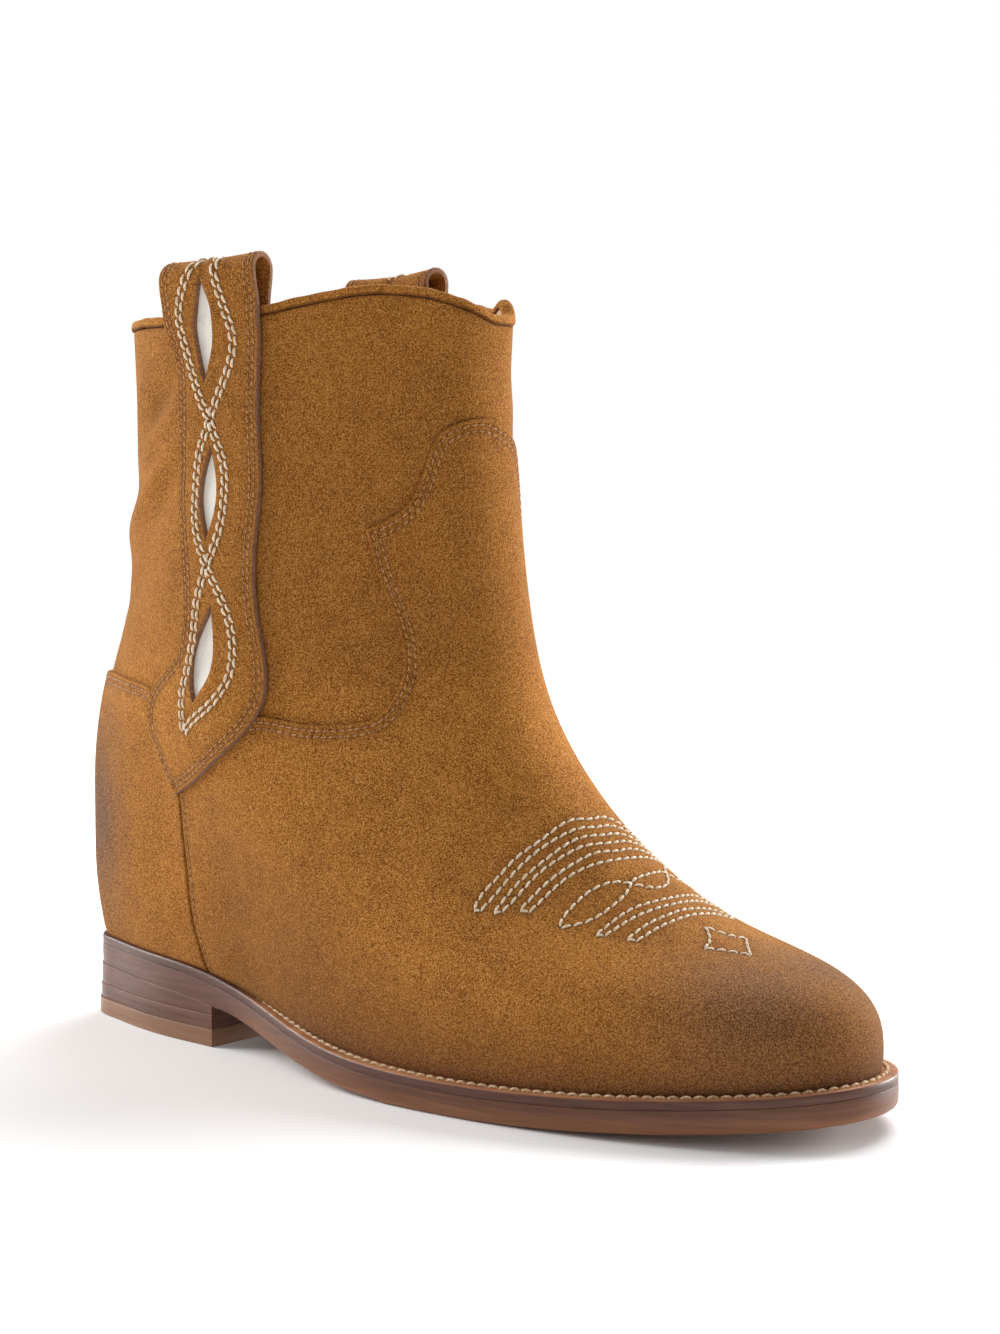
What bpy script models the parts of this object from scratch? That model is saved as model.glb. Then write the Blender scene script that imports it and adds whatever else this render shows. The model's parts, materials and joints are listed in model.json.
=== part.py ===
"""Pull-on cowboy ankle boot, right foot, with a suede upper, welted leather sole and stacked heel.

+X runs to the toe, +Z up, and the outer (lateral) side of the foot faces -Y. The design is in
millimetres from the back of the heel. place() turns it into metres about the middle of the base.

The upper's pieces lie on a last. A place on the last is (a, t): a runs around it, 0 at the front
centre line, -1 and 1 at the back, negative on the lateral side. t runs up it, 0 at the feather edge
and 1 at the topline.
"""
from math import cos, pi, sin

import bmesh
import bpy
import numpy as np
from mathutils import Vector
from mathutils.geometry import delaunay_2d_cdt

OBJECT_NAME = "cowboy_boot"
MM = 0.001
ORIGIN_X = 135.02
ORIGIN_Y = -0.66

# Last: one line per level, from the feather edge up to the topline.
# back x, back z, front x, front z, back radius, front radius, how far it follows the sole's curve,
# then the half-widths at STATIONS on the lateral and on the medial side.
STATIONS = (0.05, 0.16, 0.32, 0.48, 0.64, 0.80, 0.93)
LAST_LEVELS = (
    (2.2, 24.6, 266.7, 15.2, 24, 24, 1.0,
     (17, 25, 30, 41, 43.5, 38, 25.5), (18, 25.5, 27, 31, 40, 41, 28)),
    (-0.5, 42, 265.5, 27.5, 26, 24, 0.9,
     (19, 28, 34, 43.5, 46.5, 41, 28), (19, 28, 30, 35, 44.5, 45, 30)),
    (-0.5, 60, 255, 36, 28, 19, 0.7,
     (19.5, 28.5, 35.5, 44.5, 47.5, 41.5, 26.5), (20, 29, 32.5, 38, 44.5, 43.5, 28.5)),
    (0.2, 78, 232, 41.5, 30, 17, 0.4,
     (19.5, 29.5, 36.5, 44.5, 46, 38.5, 24), (20, 30, 34, 39.5, 43.5, 39.5, 25)),
    (2.6, 94, 204.5, 55, 31, 17, 0.2,
     (18.5, 29.5, 37.5, 43.5, 42, 34.5, 21), (19, 30, 35.5, 40, 41.5, 35.5, 21.5)),
    (7, 108, 180.5, 75, 32, 19, 0.0,
     (17.5, 29.5, 38, 42, 38.5, 31, 18.5), (18, 29.5, 36, 40, 38.5, 31.5, 18.5)),
    (12.5, 122, 162.5, 99.5, 33, 22, 0.0,
     (17, 28.5, 38, 41, 38, 30, 18), (17, 28.5, 36, 39.5, 37.5, 29.5, 18)),
    (16.5, 142, 154, 130, 34, 24, 0.0,
     (17, 27.5, 37, 40, 38, 30, 18), (17, 28, 35.5, 38.5, 38, 30, 18)),
    (19, 172, 150, 170, 36, 25, 0.0,
     (17, 28, 36.5, 39, 37, 29, 18), (17, 28, 36, 38, 37, 29, 18)),
    (19, 207, 150.5, 205, 38, 26, 0.0,
     (18, 30, 38, 38.5, 36, 28, 17), (17.5, 29, 37, 38, 36, 28, 17)),
)
CELLS = 16                     # facets of the last: this many up it and around each side
HUMP_HEIGHT = 7.5              # the topline's rise on each side of its front dip
HUMP_PLACE = 0.25
HUMP_FRONT = 0.12
HUMP_BACK = 0.17

# Sole: height of its top face along the foot, and its thickness with the welt.
SOLE_X = (-5, 0, 30, 60, 80, 100, 120, 140, 165, 190, 220, 250, 271)
SOLE_Z = (24.4, 24.3, 23.5, 21.9, 18.6, 14.8, 11.7, 9.7, 8.8, 9.1, 10.6, 13.1, 15.2)
EDGE_THICKNESS = 8.8
WELT_THICKNESS = 2.6
HEEL_MARGIN = 1.6              # how far the sole stands out past the upper at the heel
FOREPART_MARGIN = 4.6
BREAST_S = 0.2525              # heel breast, as a fraction of the foot's length
TOP_PIECE = 5.0
SECOND_LIFT = 9.2
INSOLE_THICKNESS = 2.5
SOCK_THICKNESS = 1.2
WEDGE_HEIGHT = 24.0
WEDGE_END = 125.0
GAP = 0.3                      # between faces that touch
FEATHER_GAP = 0.5              # between the welt and the upper's lower edge

# Depths of the layers, measured outwards from the last.
COVER = (-0.5, 0.6)            # vamp, heel counter and the inlay strips
SHAFT = (-2.1, -0.9)           # shaft leather, toe puff and heel stiffener
LINING = (-3.3, -2.5)
STRAP = (0.9, 2.1)
INNER_TAB = (-4.8, -3.6)
BINDING_DEPTH = -2.1
BINDING_RADIUS = 1.25
TOP_EDGE = 0.9905              # where the leathers stop under the binding
SIDE_SEAM = 0.53
SEAM_GAP = 0.0015

# Pull straps: where they lie around the last, and their loops' height over the topline.
STRAP_FRONT = 0.436
STRAP_BACK = 0.604
LOOP_FOOT = 1.0
LOOP_RISE = 14.5
LOOP_THICKNESS = 1.2
LOOP_BULGE = 1.2               # how far each leg bows out
LOOP_SECTIONS = 5

# Steel in the bottom, as places along the foot and heights from the sole's top face.
NAIL_PLACES = ((14, 0), (26, -15), (26, 15), (52, -18), (52, 18))
NAIL_RADIUS = 0.9
RIVET_PLACES = (76, 134)
RIVET_RADIUS = 1.6
HOLE_CLEARANCE = 0.35
SHANK_HEIGHTS = (-2.0, -0.8)
TREAD_FLAT = (150, 184)        # where the outsole is worn flat on the ground

STEEL_GREY = (0.45, 0.45, 0.46, 1)
MATERIALS = {
    "tan_suede": ((0.36, 0.16, 0.05, 1), 0.95, 0),
    "inlay_leather": ((0.80, 0.76, 0.68, 1), 0.6, 0),
    "lining_leather": ((0.56, 0.36, 0.20, 1), 0.7, 0),
    "sole_leather": ((0.16, 0.06, 0.04, 1), 0.35, 0),
    "welt_leather": ((0.45, 0.22, 0.11, 1), 0.5, 0),
    "top_piece_leather": ((0.26, 0.12, 0.07, 1), 0.45, 0),
    "stiffener_board": ((0.30, 0.24, 0.17, 1), 0.8, 0),
    "insole_board": ((0.42, 0.30, 0.18, 1), 0.8, 0),
    "cork": ((0.48, 0.30, 0.15, 1), 0.9, 0),
    "steel": (STEEL_GREY, 0.35, 1),
}


def cubic(knots, values, end_slopes=None):
    """A cubic spline through values at knots: natural, or with the given slopes at its ends."""
    knots = np.asarray(knots, float)
    values = np.asarray(values, float)
    count = len(knots)
    step = np.diff(knots)
    columns = (-1,) + (1,) * (values.ndim - 1)
    rise = np.diff(values, axis=0) / step.reshape(columns)
    matrix = np.zeros((count, count))
    right = np.zeros_like(values)
    for i in range(1, count - 1):
        matrix[i, i - 1:i + 2] = step[i], 2 * (step[i - 1] + step[i]), step[i - 1]
        right[i] = 3 * (step[i] * rise[i - 1] + step[i - 1] * rise[i])
    if end_slopes is None:
        matrix[0, :2] = 2, 1
        matrix[-1, -2:] = 1, 2
        right[0] = 3 * rise[0]
        right[-1] = 3 * rise[-1]
    else:
        matrix[0, 0] = matrix[-1, -1] = 1
        right[0], right[-1] = end_slopes
    slopes = np.linalg.solve(matrix, right)

    def evaluate(at):
        at = np.asarray(at, float)
        i = np.clip(np.searchsorted(knots, at) - 1, 0, count - 2)
        tail = at.shape + (1,) * (values.ndim - 1)
        h = step[i].reshape(tail)
        u = ((at - knots[i]) / step[i]).reshape(tail)
        start = values[i] * (1 + 2 * u) * (1 - u) ** 2 + slopes[i] * h * u * (1 - u) ** 2
        end = values[i + 1] * u * u * (3 - 2 * u) - slopes[i + 1] * h * u * u * (1 - u)
        return start + end

    return evaluate


LEVEL_TABLE = [list(level[:7]) + list(level[7]) + list(level[8]) for level in LAST_LEVELS]
level_at = cubic(np.linspace(0, 1, len(LAST_LEVELS)), LEVEL_TABLE)
sole_top = cubic(SOLE_X, SOLE_Z)


def scallop(a):
    """Height of the topline's humps over its plain level."""
    width = np.where(np.abs(a) < HUMP_PLACE, HUMP_FRONT, HUMP_BACK)
    return HUMP_HEIGHT * np.exp(-((np.abs(a) - HUMP_PLACE) / width) ** 2)


def last_points(around, t):
    """Points of the last at level t, one for each place in around."""
    level = level_at(t)
    back_x, back_z, front_x, front_z, back_radius, front_radius, follow = level[:7]
    around = (np.asarray(around, float) + 1) % 2 - 1
    s = (1 - np.cos(pi * (1 - np.abs(around)))) / 2
    length = front_x - back_x
    heel_x, heel_z, toe_x, toe_z = LAST_LEVELS[0][:4]
    sag = heel_z + (toe_z - heel_z) * s - sole_top(heel_x + (toe_x - heel_x) * s)
    rise = np.clip((t - 0.8) / 0.2, 0, 1)
    x = back_x + length * s
    z = back_z + (front_z - back_z) * s - follow * sag + rise * rise * (3 - 2 * rise) * scallop(around)
    widths = []
    for half_widths in (level[7:14], level[14:21]):
        squares = np.concatenate([[0], np.square(half_widths), [0]])
        ends = (2 * back_radius * length, -2 * front_radius * length)
        widths.append(np.sqrt(np.maximum(cubic((0, *STATIONS, 1), squares, ends)(s), 0)))
    y = np.where(around < 0, -widths[0], widths[1])
    return np.stack([x, y, z], axis=1)


def facet_last():
    """The last's facet corners and the outward directions there."""
    around = np.arange(-CELLS, CELLS) / CELLS
    nudge = 0.002
    corners = []
    directions = []
    for level in range(CELLS + 1):
        t = level / CELLS
        along = last_points(around + nudge, t) - last_points(around - nudge, t)
        up = last_points(around, t + nudge) - last_points(around, t - nudge)
        normal = np.cross(along, up)
        corners.append(last_points(around, t))
        directions.append(normal / np.linalg.norm(normal, axis=1, keepdims=True))
    return np.array(corners), np.array(directions)


CORNERS, DIRECTIONS = facet_last()


def skin(a, t, depth):
    """The point at (a, t) on the faceted last, moved outwards by depth."""
    column = (a + 1) * CELLS
    row = min(max(t * CELLS, 0), CELLS - 1e-6)
    i, j = int(column // 1), int(row)
    u, v = column - i, row - j
    total = np.zeros(3)
    for di, dj in ((0, 0), (1, 0), (0, 1), (1, 1)):
        weight = (u if di else 1 - u) * (v if dj else 1 - v)
        corner = (j + dj, (i + di) % (2 * CELLS))
        total += weight * (CORNERS[corner] + depth * DIRECTIONS[corner])
    return total


def place(point):
    """A design point in millimetres, in the part's own frame in metres."""
    return Vector(((point[0] - ORIGIN_X) * MM, (point[1] - ORIGIN_Y) * MM, point[2] * MM))


def smooth(run, steps=2):
    """A run of outline points with a curve through them."""
    curve = cubic(np.arange(len(run)), run)
    return [tuple(curve(k / steps)) for k in range((len(run) - 1) * steps)] + [run[-1]]


def mirrored(half):
    """A whole outline from the half on the lateral side, which starts and ends away from a = 0."""
    other = [(-a, t) for a, t in reversed(half)]
    if abs(half[-1][0]) < 1e-9:
        other = other[1:]
    return list(half) + other


def material(name):
    if name in bpy.data.materials:
        return bpy.data.materials[name]
    colour, roughness, metallic = MATERIALS[name]
    made = bpy.data.materials.new(name)
    made.use_nodes = True
    made.diffuse_color = colour
    shader = made.node_tree.nodes["Principled BSDF"]
    shader.inputs["Base Color"].default_value = colour
    shader.inputs["Roughness"].default_value = roughness
    shader.inputs["Metallic"].default_value = metallic
    return made


def add_object(name, bm, slot):
    """Closes bm into an object of the boot's collection."""
    bmesh.ops.recalc_face_normals(bm, faces=bm.faces[:])
    mesh = bpy.data.meshes.new(name)
    bm.to_mesh(mesh)
    bm.free()
    mesh.shade_smooth()
    mesh.set_sharp_from_angle(angle=0.6)
    mesh.materials.append(material(slot))
    made = bpy.data.objects.new(name, mesh)
    bpy.data.collections[OBJECT_NAME].objects.link(made)
    return made


def cut_lines(low, high, step):
    """Whole multiples of step between low and high."""
    return [k * step for k in range(int(np.ceil(low / step)), int(np.floor(high / step)) + 1)]


def signed_area(loop):
    """Twice the area of a loop, positive where it runs anticlockwise."""
    return sum(p[0] * q[1] - q[0] * p[1] for p, q in zip(loop, loop[1:] + loop[:1]))


def flat_sheet(outline, holes, across, along):
    """A flat sheet with holes, cut into facets at whole steps of across (first axis) and along."""
    points = []
    edges = []
    faces = []
    for loop in (outline, *holes):
        if signed_area(loop) < 0:
            loop = loop[::-1]
        faces.append(list(range(len(points), len(points) + len(loop))))
        points.extend(Vector(p) for p in loop)
    low = np.min(outline, axis=0) - 1
    high = np.max(outline, axis=0) + 1
    for u in cut_lines(low[0], high[0], across):
        edges.append((len(points), len(points) + 1))
        points.extend((Vector((u, low[1])), Vector((u, high[1]))))
    for v in cut_lines(low[1], high[1], along):
        edges.append((len(points), len(points) + 1))
        points.extend((Vector((low[0], v)), Vector((high[0], v))))
    verts, _, triangles, _, _, sources = delaunay_2d_cdt(points, edges, faces, 0, 1e-4)
    bm = bmesh.new()
    made = [bm.verts.new((p.x, p.y, 0)) for p in verts]
    for triangle, source in zip(triangles, sources):
        if 0 in source and len(source) == 1:
            bm.faces.new([made[k] for k in triangle])
    bmesh.ops.delete(bm, geom=[v for v in bm.verts if not v.link_faces], context="VERTS")
    return bm


def thicken(bm, shape):
    """Gives a flat sheet two faces and a rim. shape(u, v, w) places a corner; w is 0 or 1."""
    rim = [edge for edge in bm.edges if len(edge.link_faces) == 1]
    lower = {vert: vert for vert in bm.verts}
    upper = {vert: bm.verts.new((vert.co.x, vert.co.y, 1)) for vert in lower}
    for face in bm.faces[:]:
        bm.faces.new([upper[vert] for vert in reversed(face.verts)])
    for edge in rim:
        first, second = edge.verts
        bm.faces.new((first, second, upper[second], upper[first]))
    for vert in bm.verts:
        vert.co = shape(vert.co.x, vert.co.y, vert.co.z)
    bmesh.ops.triangulate(bm, faces=bm.faces[:])


def panel(name, slot, outline, depths, holes=()):
    """A piece of leather cut to an outline in (a, t), which follows the last between two depths."""
    grid = [[(a * CELLS, t * CELLS) for a, t in loop] for loop in (outline, *holes)]
    bm = flat_sheet(grid[0], grid[1:], 1, 1)
    inner, outer = depths

    def shape(u, v, w):
        point = skin(u / CELLS, v / CELLS, inner + (outer - inner) * w)
        point[2] = max(point[2], sole_top(point[0]) + FEATHER_GAP)
        return place(point)

    thicken(bm, shape)
    return add_object(name, bm, slot)


def slab(name, slot, outline, low, high, holes=()):
    """A piece of the sole, cut to an outline seen from above, between low(x) and high(x)."""
    bm = flat_sheet(outline, holes, 9, 400)

    def shape(u, v, w):
        return place((u, v, high(u) if w else low(u)))

    thicken(bm, shape)
    return add_object(name, bm, slot)


def margin_at(s):
    """How far the sole's edge stands out past the feather edge."""
    blend = np.clip((s - 0.2) / 0.35, 0, 1)
    return HEEL_MARGIN + (FOREPART_MARGIN - HEEL_MARGIN) * blend * blend * (3 - 2 * blend)


def plan(margin, start=0.0, stop=1.0, count=26):
    """The feather edge seen from above, moved outwards by margin(s), from start to stop of its length."""
    v = np.linspace(np.arccos(1 - 2 * start) / pi, np.arccos(1 - 2 * stop) / pi, count)
    sides = []
    for side in (-1, 1):
        around = side * (1 - v)
        edge = last_points(around, 0)[:, :2]
        run = last_points(around + 0.002, 0)[:, :2] - last_points(around - 0.002, 0)[:, :2]
        outward = np.stack([run[:, 1], -run[:, 0]], axis=1)
        outward /= np.linalg.norm(outward, axis=1, keepdims=True)
        s = (1 - np.cos(pi * v)) / 2
        sides.append([tuple(p) for p in edge + outward * margin(s)[:, None]])
    lateral, medial = sides
    if start == 0:
        medial = medial[1:]
    if stop == 1:
        medial = medial[:-1]
    return lateral + medial[::-1]


def inset(distance):
    return lambda s: np.full_like(s, -distance)


def circle(x, y, radius, count=10):
    angles = [2 * pi * k / count for k in range(count)]
    return [(x + radius * cos(angle), y + radius * sin(angle)) for angle in angles]


def lens(top, bottom, half_width, steps=8):
    """A pointed oval in (a, t)."""
    left = []
    right = []
    for k in range(1, steps):
        u = k / steps
        a = top[0] + (bottom[0] - top[0]) * u
        t = top[1] + (bottom[1] - top[1]) * u
        width = half_width * sin(pi * u)
        left.append((a - width, t))
        right.append((a + width, t))
    return [top] + right + [bottom] + left[::-1]


def level(height):
    return lambda x: height


def above_sole(height):
    return lambda x: float(sole_top(x)) + height


def wedge_height(x):
    return WEDGE_HEIGHT * max(1 - x / WEDGE_END, 0) ** 1.3


def pin(name, slot, x, y, radius, low, high):
    """An upright nail or rivet."""
    bm = bmesh.new()
    size = radius * MM
    bmesh.ops.create_cone(
        bm, cap_ends=True, segments=10, radius1=size, radius2=size, depth=(high - low) * MM
    )
    bmesh.ops.translate(bm, verts=bm.verts[:], vec=place((x, y, (low + high) / 2)))
    return add_object(name, bm, slot)


def build_upper():
    seam_low = [(-0.672, 0.0), (-0.672, 0.11), (-0.670, 0.18), (-0.662, 0.27), (-0.640, 0.39)]
    vamp_side = [
        (-0.640, 0.545), (-0.550, 0.552), (-0.500, 0.575), (-0.466, 0.597), (-0.418, 0.603),
        (-0.353, 0.617), (-0.305, 0.635), (-0.264, 0.671), (-0.242, 0.706), (-0.240, 0.740),
        (-0.258, 0.780),
    ]
    vamp_tongue = [
        (-0.277, 0.824), (-0.236, 0.833), (-0.204, 0.845), (-0.176, 0.866), (-0.156, 0.884),
        (-0.127, 0.895), (-0.080, 0.903), (0, 0.907),
    ]
    panel("vamp", "tan_suede", mirrored(seam_low + vamp_side + vamp_tongue), COVER)

    counter_top = [
        (0.640, 0.545), (0.655, 0.570), (0.700, 0.570), (0.753, 0.560), (0.890, 0.530), (1.0, 0.523),
    ]
    half = [(-a, t) for a, t in seam_low] + counter_top
    half = [(min(a + 2 * SEAM_GAP, 1.0), t) for a, t in half]
    counter = half + [(2 - a, t) for a, t in half[-2::-1]]
    panel("heel_counter_cover", "tan_suede", counter, COVER)

    side = SIDE_SEAM - SEAM_GAP
    front = [(-side, 0.52), (-side, TOP_EDGE), (side, TOP_EDGE), (side, 0.52)]
    panel("shaft_front", "tan_suede", front, SHAFT)
    side = SIDE_SEAM + SEAM_GAP
    back = [(side, 0.49), (side, TOP_EDGE), (2 - side, TOP_EDGE), (2 - side, 0.49)]
    panel("shaft_back", "tan_suede", back, SHAFT)

    puff = smooth([(-0.36, 0.03), (-0.34, 0.15), (-0.24, 0.27), (-0.12, 0.33), (0, 0.35)])
    panel("toe_puff", "stiffener_board", mirrored(puff), SHAFT)
    stiffener = smooth([(0.66, 0.03), (0.68, 0.15), (0.72, 0.30), (0.82, 0.41), (1.0, 0.45)])
    stiffener += [(2 - a, t) for a, t in stiffener[-2::-1]]
    panel("heel_stiffener", "stiffener_board", stiffener, SHAFT)


def build_linings():
    side = 0.563
    gap = SEAM_GAP
    split = 0.56
    panel("vamp_lining", "lining_leather", band(-side, side, 0.02, split), LINING)
    panel("shaft_lining_front", "lining_leather", band(-side, side, split + 2 * gap, TOP_EDGE), LINING)
    side += 2 * gap
    panel("heel_grip", "lining_leather", band(side, 2 - side, 0.02, 0.5), LINING)
    panel("shaft_lining_back", "lining_leather", band(side, 2 - side, 0.5 + 2 * gap, TOP_EDGE), LINING)


def band(first, last, low, high):
    """A piece between two places around the last and two levels up it."""
    return [(first, low), (last, low), (last, high), (first, high)]


def build_binding():
    """The rolled edge over the leathers' top edges."""
    curve = bpy.data.curves.new("topline_binding", "CURVE")
    curve.dimensions = "3D"
    curve.bevel_depth = BINDING_RADIUS * MM
    curve.bevel_resolution = 2
    spline = curve.splines.new("POLY")
    spline.points.add(2 * CELLS - 1)
    spline.use_cyclic_u = True
    for k, point in enumerate(spline.points):
        centre = skin(k / CELLS - 1, 1, BINDING_DEPTH) - (0, 0, BINDING_RADIUS)
        point.co = (*place(centre), 1)
    curve.materials.append(material("tan_suede"))
    made = bpy.data.objects.new("topline_binding", curve)
    bpy.data.collections[OBJECT_NAME].objects.link(made)


def build_strap(side_name, side):
    """Pull strap on one side: the strap over its inlay strip, its loop, and its inner end."""
    back_edge = [
        (0.608, 0.997), (0.591, 0.976), (0.582, 0.940), (0.579, 0.909), (0.586, 0.853), (0.570, 0.768),
        (0.567, 0.731), (0.578, 0.675), (0.614, 0.621), (0.648, 0.570), (0.663, 0.509), (0.655, 0.449),
        (0.643, 0.379),
    ]
    front_edge = [
        (0.541, 0.500), (0.488, 0.564), (0.452, 0.621), (0.440, 0.657), (0.438, 0.691),
        (0.443, 0.770), (0.438, 0.815), (0.427, 0.853), (0.435, 0.905), (0.433, 0.950), (0.433, 0.997),
    ]
    lenses = (
        lens((0.527, 0.991), (0.527, 0.939), 0.016),
        lens((0.516, 0.886), (0.526, 0.808), 0.016),
        lens((0.517, 0.739), (0.558, 0.590), 0.017),
    )
    strip = [
        (0.575, 0.583), (0.575, 0.680), (0.560, 0.760), (0.560, 0.990),
        (0.480, 0.990), (0.480, 0.640), (0.520, 0.583),
    ]

    def turned(outline):
        return [(side * a, t) for a, t in outline]

    strap = turned(back_edge + front_edge)
    panel(f"{side_name}_pull_strap", "tan_suede", strap, STRAP, [turned(hole) for hole in lenses])
    panel(f"{side_name}_inlay_strip", "inlay_leather", turned(strip), COVER)
    inner_end = turned(band(STRAP_FRONT, STRAP_BACK, 0.925, 0.997))
    panel(f"{side_name}_inner_tab", "tan_suede", inner_end, INNER_TAB)
    build_loop(f"{side_name}_pull_loop", side)


def loop_outline():
    """The loop's section in (depth, height over the topline): a strip bent over in a horseshoe."""
    middle = (STRAP[0] + INNER_TAB[1] - GAP) / 2
    outline = []
    outside = (STRAP[1] - middle, LOOP_RISE)
    inside = (STRAP[0] - middle, LOOP_RISE - LOOP_THICKNESS)
    for half_gap, rise in (outside, inside):
        wide = half_gap + LOOP_BULGE
        spring = rise - wide
        middle_height = LOOP_FOOT + 0.3 * (spring - LOOP_FOOT)
        edge = [(half_gap, LOOP_FOOT), (half_gap + 0.7 * LOOP_BULGE, middle_height), (wide, spring)]
        edge += [(wide * cos(k * pi / 12), spring + wide * sin(k * pi / 12)) for k in range(1, 12)]
        edge += [(-d, h) for d, h in reversed(edge[:3])]
        outline.append([(middle + d, h) for d, h in edge])
    return outline[0] + outline[1][::-1]


def build_loop(name, side):
    bm = flat_sheet(loop_outline(), (), 100, 100)
    sections = []
    for a in np.linspace(STRAP_FRONT, STRAP_BACK, LOOP_SECTIONS + 1):
        section = {}
        for vert in bm.verts:
            depth, height = vert.co.x, vert.co.y
            section[vert] = place(skin(side * a, 1, depth) + (0, 0, height))
        sections.append(section)
    rim = [tuple(edge.verts) for edge in bm.edges if len(edge.link_faces) == 1]
    ends = [tuple(face.verts) for face in bm.faces]
    solid = bmesh.new()
    rows = [{vert: solid.verts.new(point) for vert, point in section.items()} for section in sections]
    for face in ends:
        solid.faces.new([rows[0][vert] for vert in face])
        solid.faces.new([rows[-1][vert] for vert in reversed(face)])
    for lower, upper in zip(rows, rows[1:]):
        for p, q in rim:
            solid.faces.new((lower[p], lower[q], upper[q], upper[p]))
    bm.free()
    bmesh.ops.triangulate(solid, faces=solid.faces[:])
    return add_object(name, solid, "tan_suede")


def build_bottom():
    nail_holes = [circle(x, y, NAIL_RADIUS + HOLE_CLEARANCE) for x, y in NAIL_PLACES]
    rivet_holes = [circle(x, 0, RIVET_RADIUS + HOLE_CLEARANCE) for x in RIVET_PLACES]
    welt_low = above_sole(-WELT_THICKNESS)

    def tread(x):
        """Underside of the outsole, worn flat where the ball of the foot meets the ground."""
        height = float(sole_top(x)) - EDGE_THICKNESS
        return 0.0 if TREAD_FLAT[0] < x < TREAD_FLAT[1] else max(height, 0.0)

    def lift_top(x):
        return tread(x) - GAP

    outsole_top = above_sole(-WELT_THICKNESS - GAP)
    slab("outsole", "sole_leather", plan(margin_at, count=34), tread, outsole_top, nail_holes)
    welt_inner = plan(inset(7.0))
    slab("welt", "welt_leather", plan(margin_at, count=34), welt_low, above_sole(0), [welt_inner])
    slab("bottom_filler", "cork", plan(inset(7.5), 0.56, 1.0), welt_low, above_sole(-GAP))
    slab("insole_board", "insole_board", plan(inset(4.4)), above_sole(GAP),
         above_sole(GAP + INSOLE_THICKNESS), rivet_holes)

    wedge_base = 2 * GAP + INSOLE_THICKNESS
    slab("concealed_wedge", "cork", plan(inset(5.4), 0, 0.43), above_sole(wedge_base),
         lambda x: float(sole_top(x)) + wedge_base + wedge_height(x))
    sock_base = wedge_base + GAP
    slab("sock_liner", "lining_leather", plan(inset(5.4)),
         lambda x: float(sole_top(x)) + sock_base + wedge_height(x),
         lambda x: float(sole_top(x)) + sock_base + wedge_height(x) + SOCK_THICKNESS)

    shank = [(66, -5), (76, -7), (140, -7), (146, -5), (146, 5), (140, 7), (76, 7), (66, 5)]
    slab("shank", "steel", shank, *map(above_sole, SHANK_HEIGHTS), rivet_holes)
    for name, x in zip(("shank_rivet_rear", "shank_rivet_front"), RIVET_PLACES):
        top = float(sole_top(x))
        low = top + SHANK_HEIGHTS[0] - GAP
        pin(name, "steel", x, 0, RIVET_RADIUS, low, top + INSOLE_THICKNESS)

    def heel_plan(extra):
        return plan(lambda s: margin_at(s) + extra * (1 - s / BREAST_S), 0, BREAST_S, 16)

    lift_middle = level(SECOND_LIFT + GAP)
    slab("heel_lift_upper", "sole_leather", heel_plan(0.3), lift_middle, lift_top, nail_holes)
    lift_low = level(TOP_PIECE + GAP)
    slab("heel_lift_lower", "sole_leather", heel_plan(0.7), lift_low, level(SECOND_LIFT), nail_holes)
    slab("heel_top_piece", "top_piece_leather", heel_plan(1.0), level(0), level(TOP_PIECE))
    for number, (x, y) in enumerate(NAIL_PLACES, 1):
        top = float(sole_top(x)) - WELT_THICKNESS
        pin(f"heel_nail_{number}", "steel", x, y, NAIL_RADIUS, TOP_PIECE + GAP, top - GAP)


def main():
    for existing in list(bpy.data.objects):
        bpy.data.objects.remove(existing)
    collection = bpy.data.collections.new(OBJECT_NAME)
    bpy.context.scene.collection.children.link(collection)
    build_upper()
    build_linings()
    build_binding()
    build_strap("lateral", -1)
    build_strap("medial", 1)
    build_bottom()


main()
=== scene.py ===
"""Looks of the cowboy ankle boot: lasted suede panels, real stitches, rolled topline and waxed sole edges.

The upper lies on the same last as the CAD model, in the same places (a, t): a runs around the boot, 0 at
the front centre line and -1 and 1 at the back, negative on the lateral side; t runs up it, 0 at the
feather edge and 1 at the topline. Lengths are in millimetres until a mesh is made.
"""
import json
from math import ceil, cos, pi, radians, sin

import bmesh
import bpy
import numpy as np
from mathutils import Euler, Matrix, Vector
from mathutils.geometry import delaunay_2d_cdt
from mathutils.kdtree import KDTree


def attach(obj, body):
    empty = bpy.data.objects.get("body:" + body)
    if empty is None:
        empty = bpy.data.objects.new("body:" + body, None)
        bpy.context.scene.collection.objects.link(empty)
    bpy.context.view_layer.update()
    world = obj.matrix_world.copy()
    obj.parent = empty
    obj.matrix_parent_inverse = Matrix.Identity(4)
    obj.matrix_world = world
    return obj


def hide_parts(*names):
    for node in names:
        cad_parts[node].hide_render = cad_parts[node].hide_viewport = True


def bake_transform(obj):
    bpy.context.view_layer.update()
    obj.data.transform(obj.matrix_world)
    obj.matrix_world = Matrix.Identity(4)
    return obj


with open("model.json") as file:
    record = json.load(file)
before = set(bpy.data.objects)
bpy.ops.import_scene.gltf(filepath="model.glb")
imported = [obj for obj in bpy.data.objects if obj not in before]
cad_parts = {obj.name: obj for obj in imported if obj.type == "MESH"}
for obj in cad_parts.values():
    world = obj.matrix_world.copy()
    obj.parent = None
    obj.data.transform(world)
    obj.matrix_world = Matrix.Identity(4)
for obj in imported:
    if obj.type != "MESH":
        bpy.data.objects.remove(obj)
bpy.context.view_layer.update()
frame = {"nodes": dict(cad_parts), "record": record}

MM = 0.001
ORIGIN = np.array((135.02, -0.66, 0.0))

# The last and the sole, as in the CAD model. Only the topline's height is drawn more closely, by scallop.
STATIONS = (0.05, 0.16, 0.32, 0.48, 0.64, 0.80, 0.93)     # places along the foot of the half-widths
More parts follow.
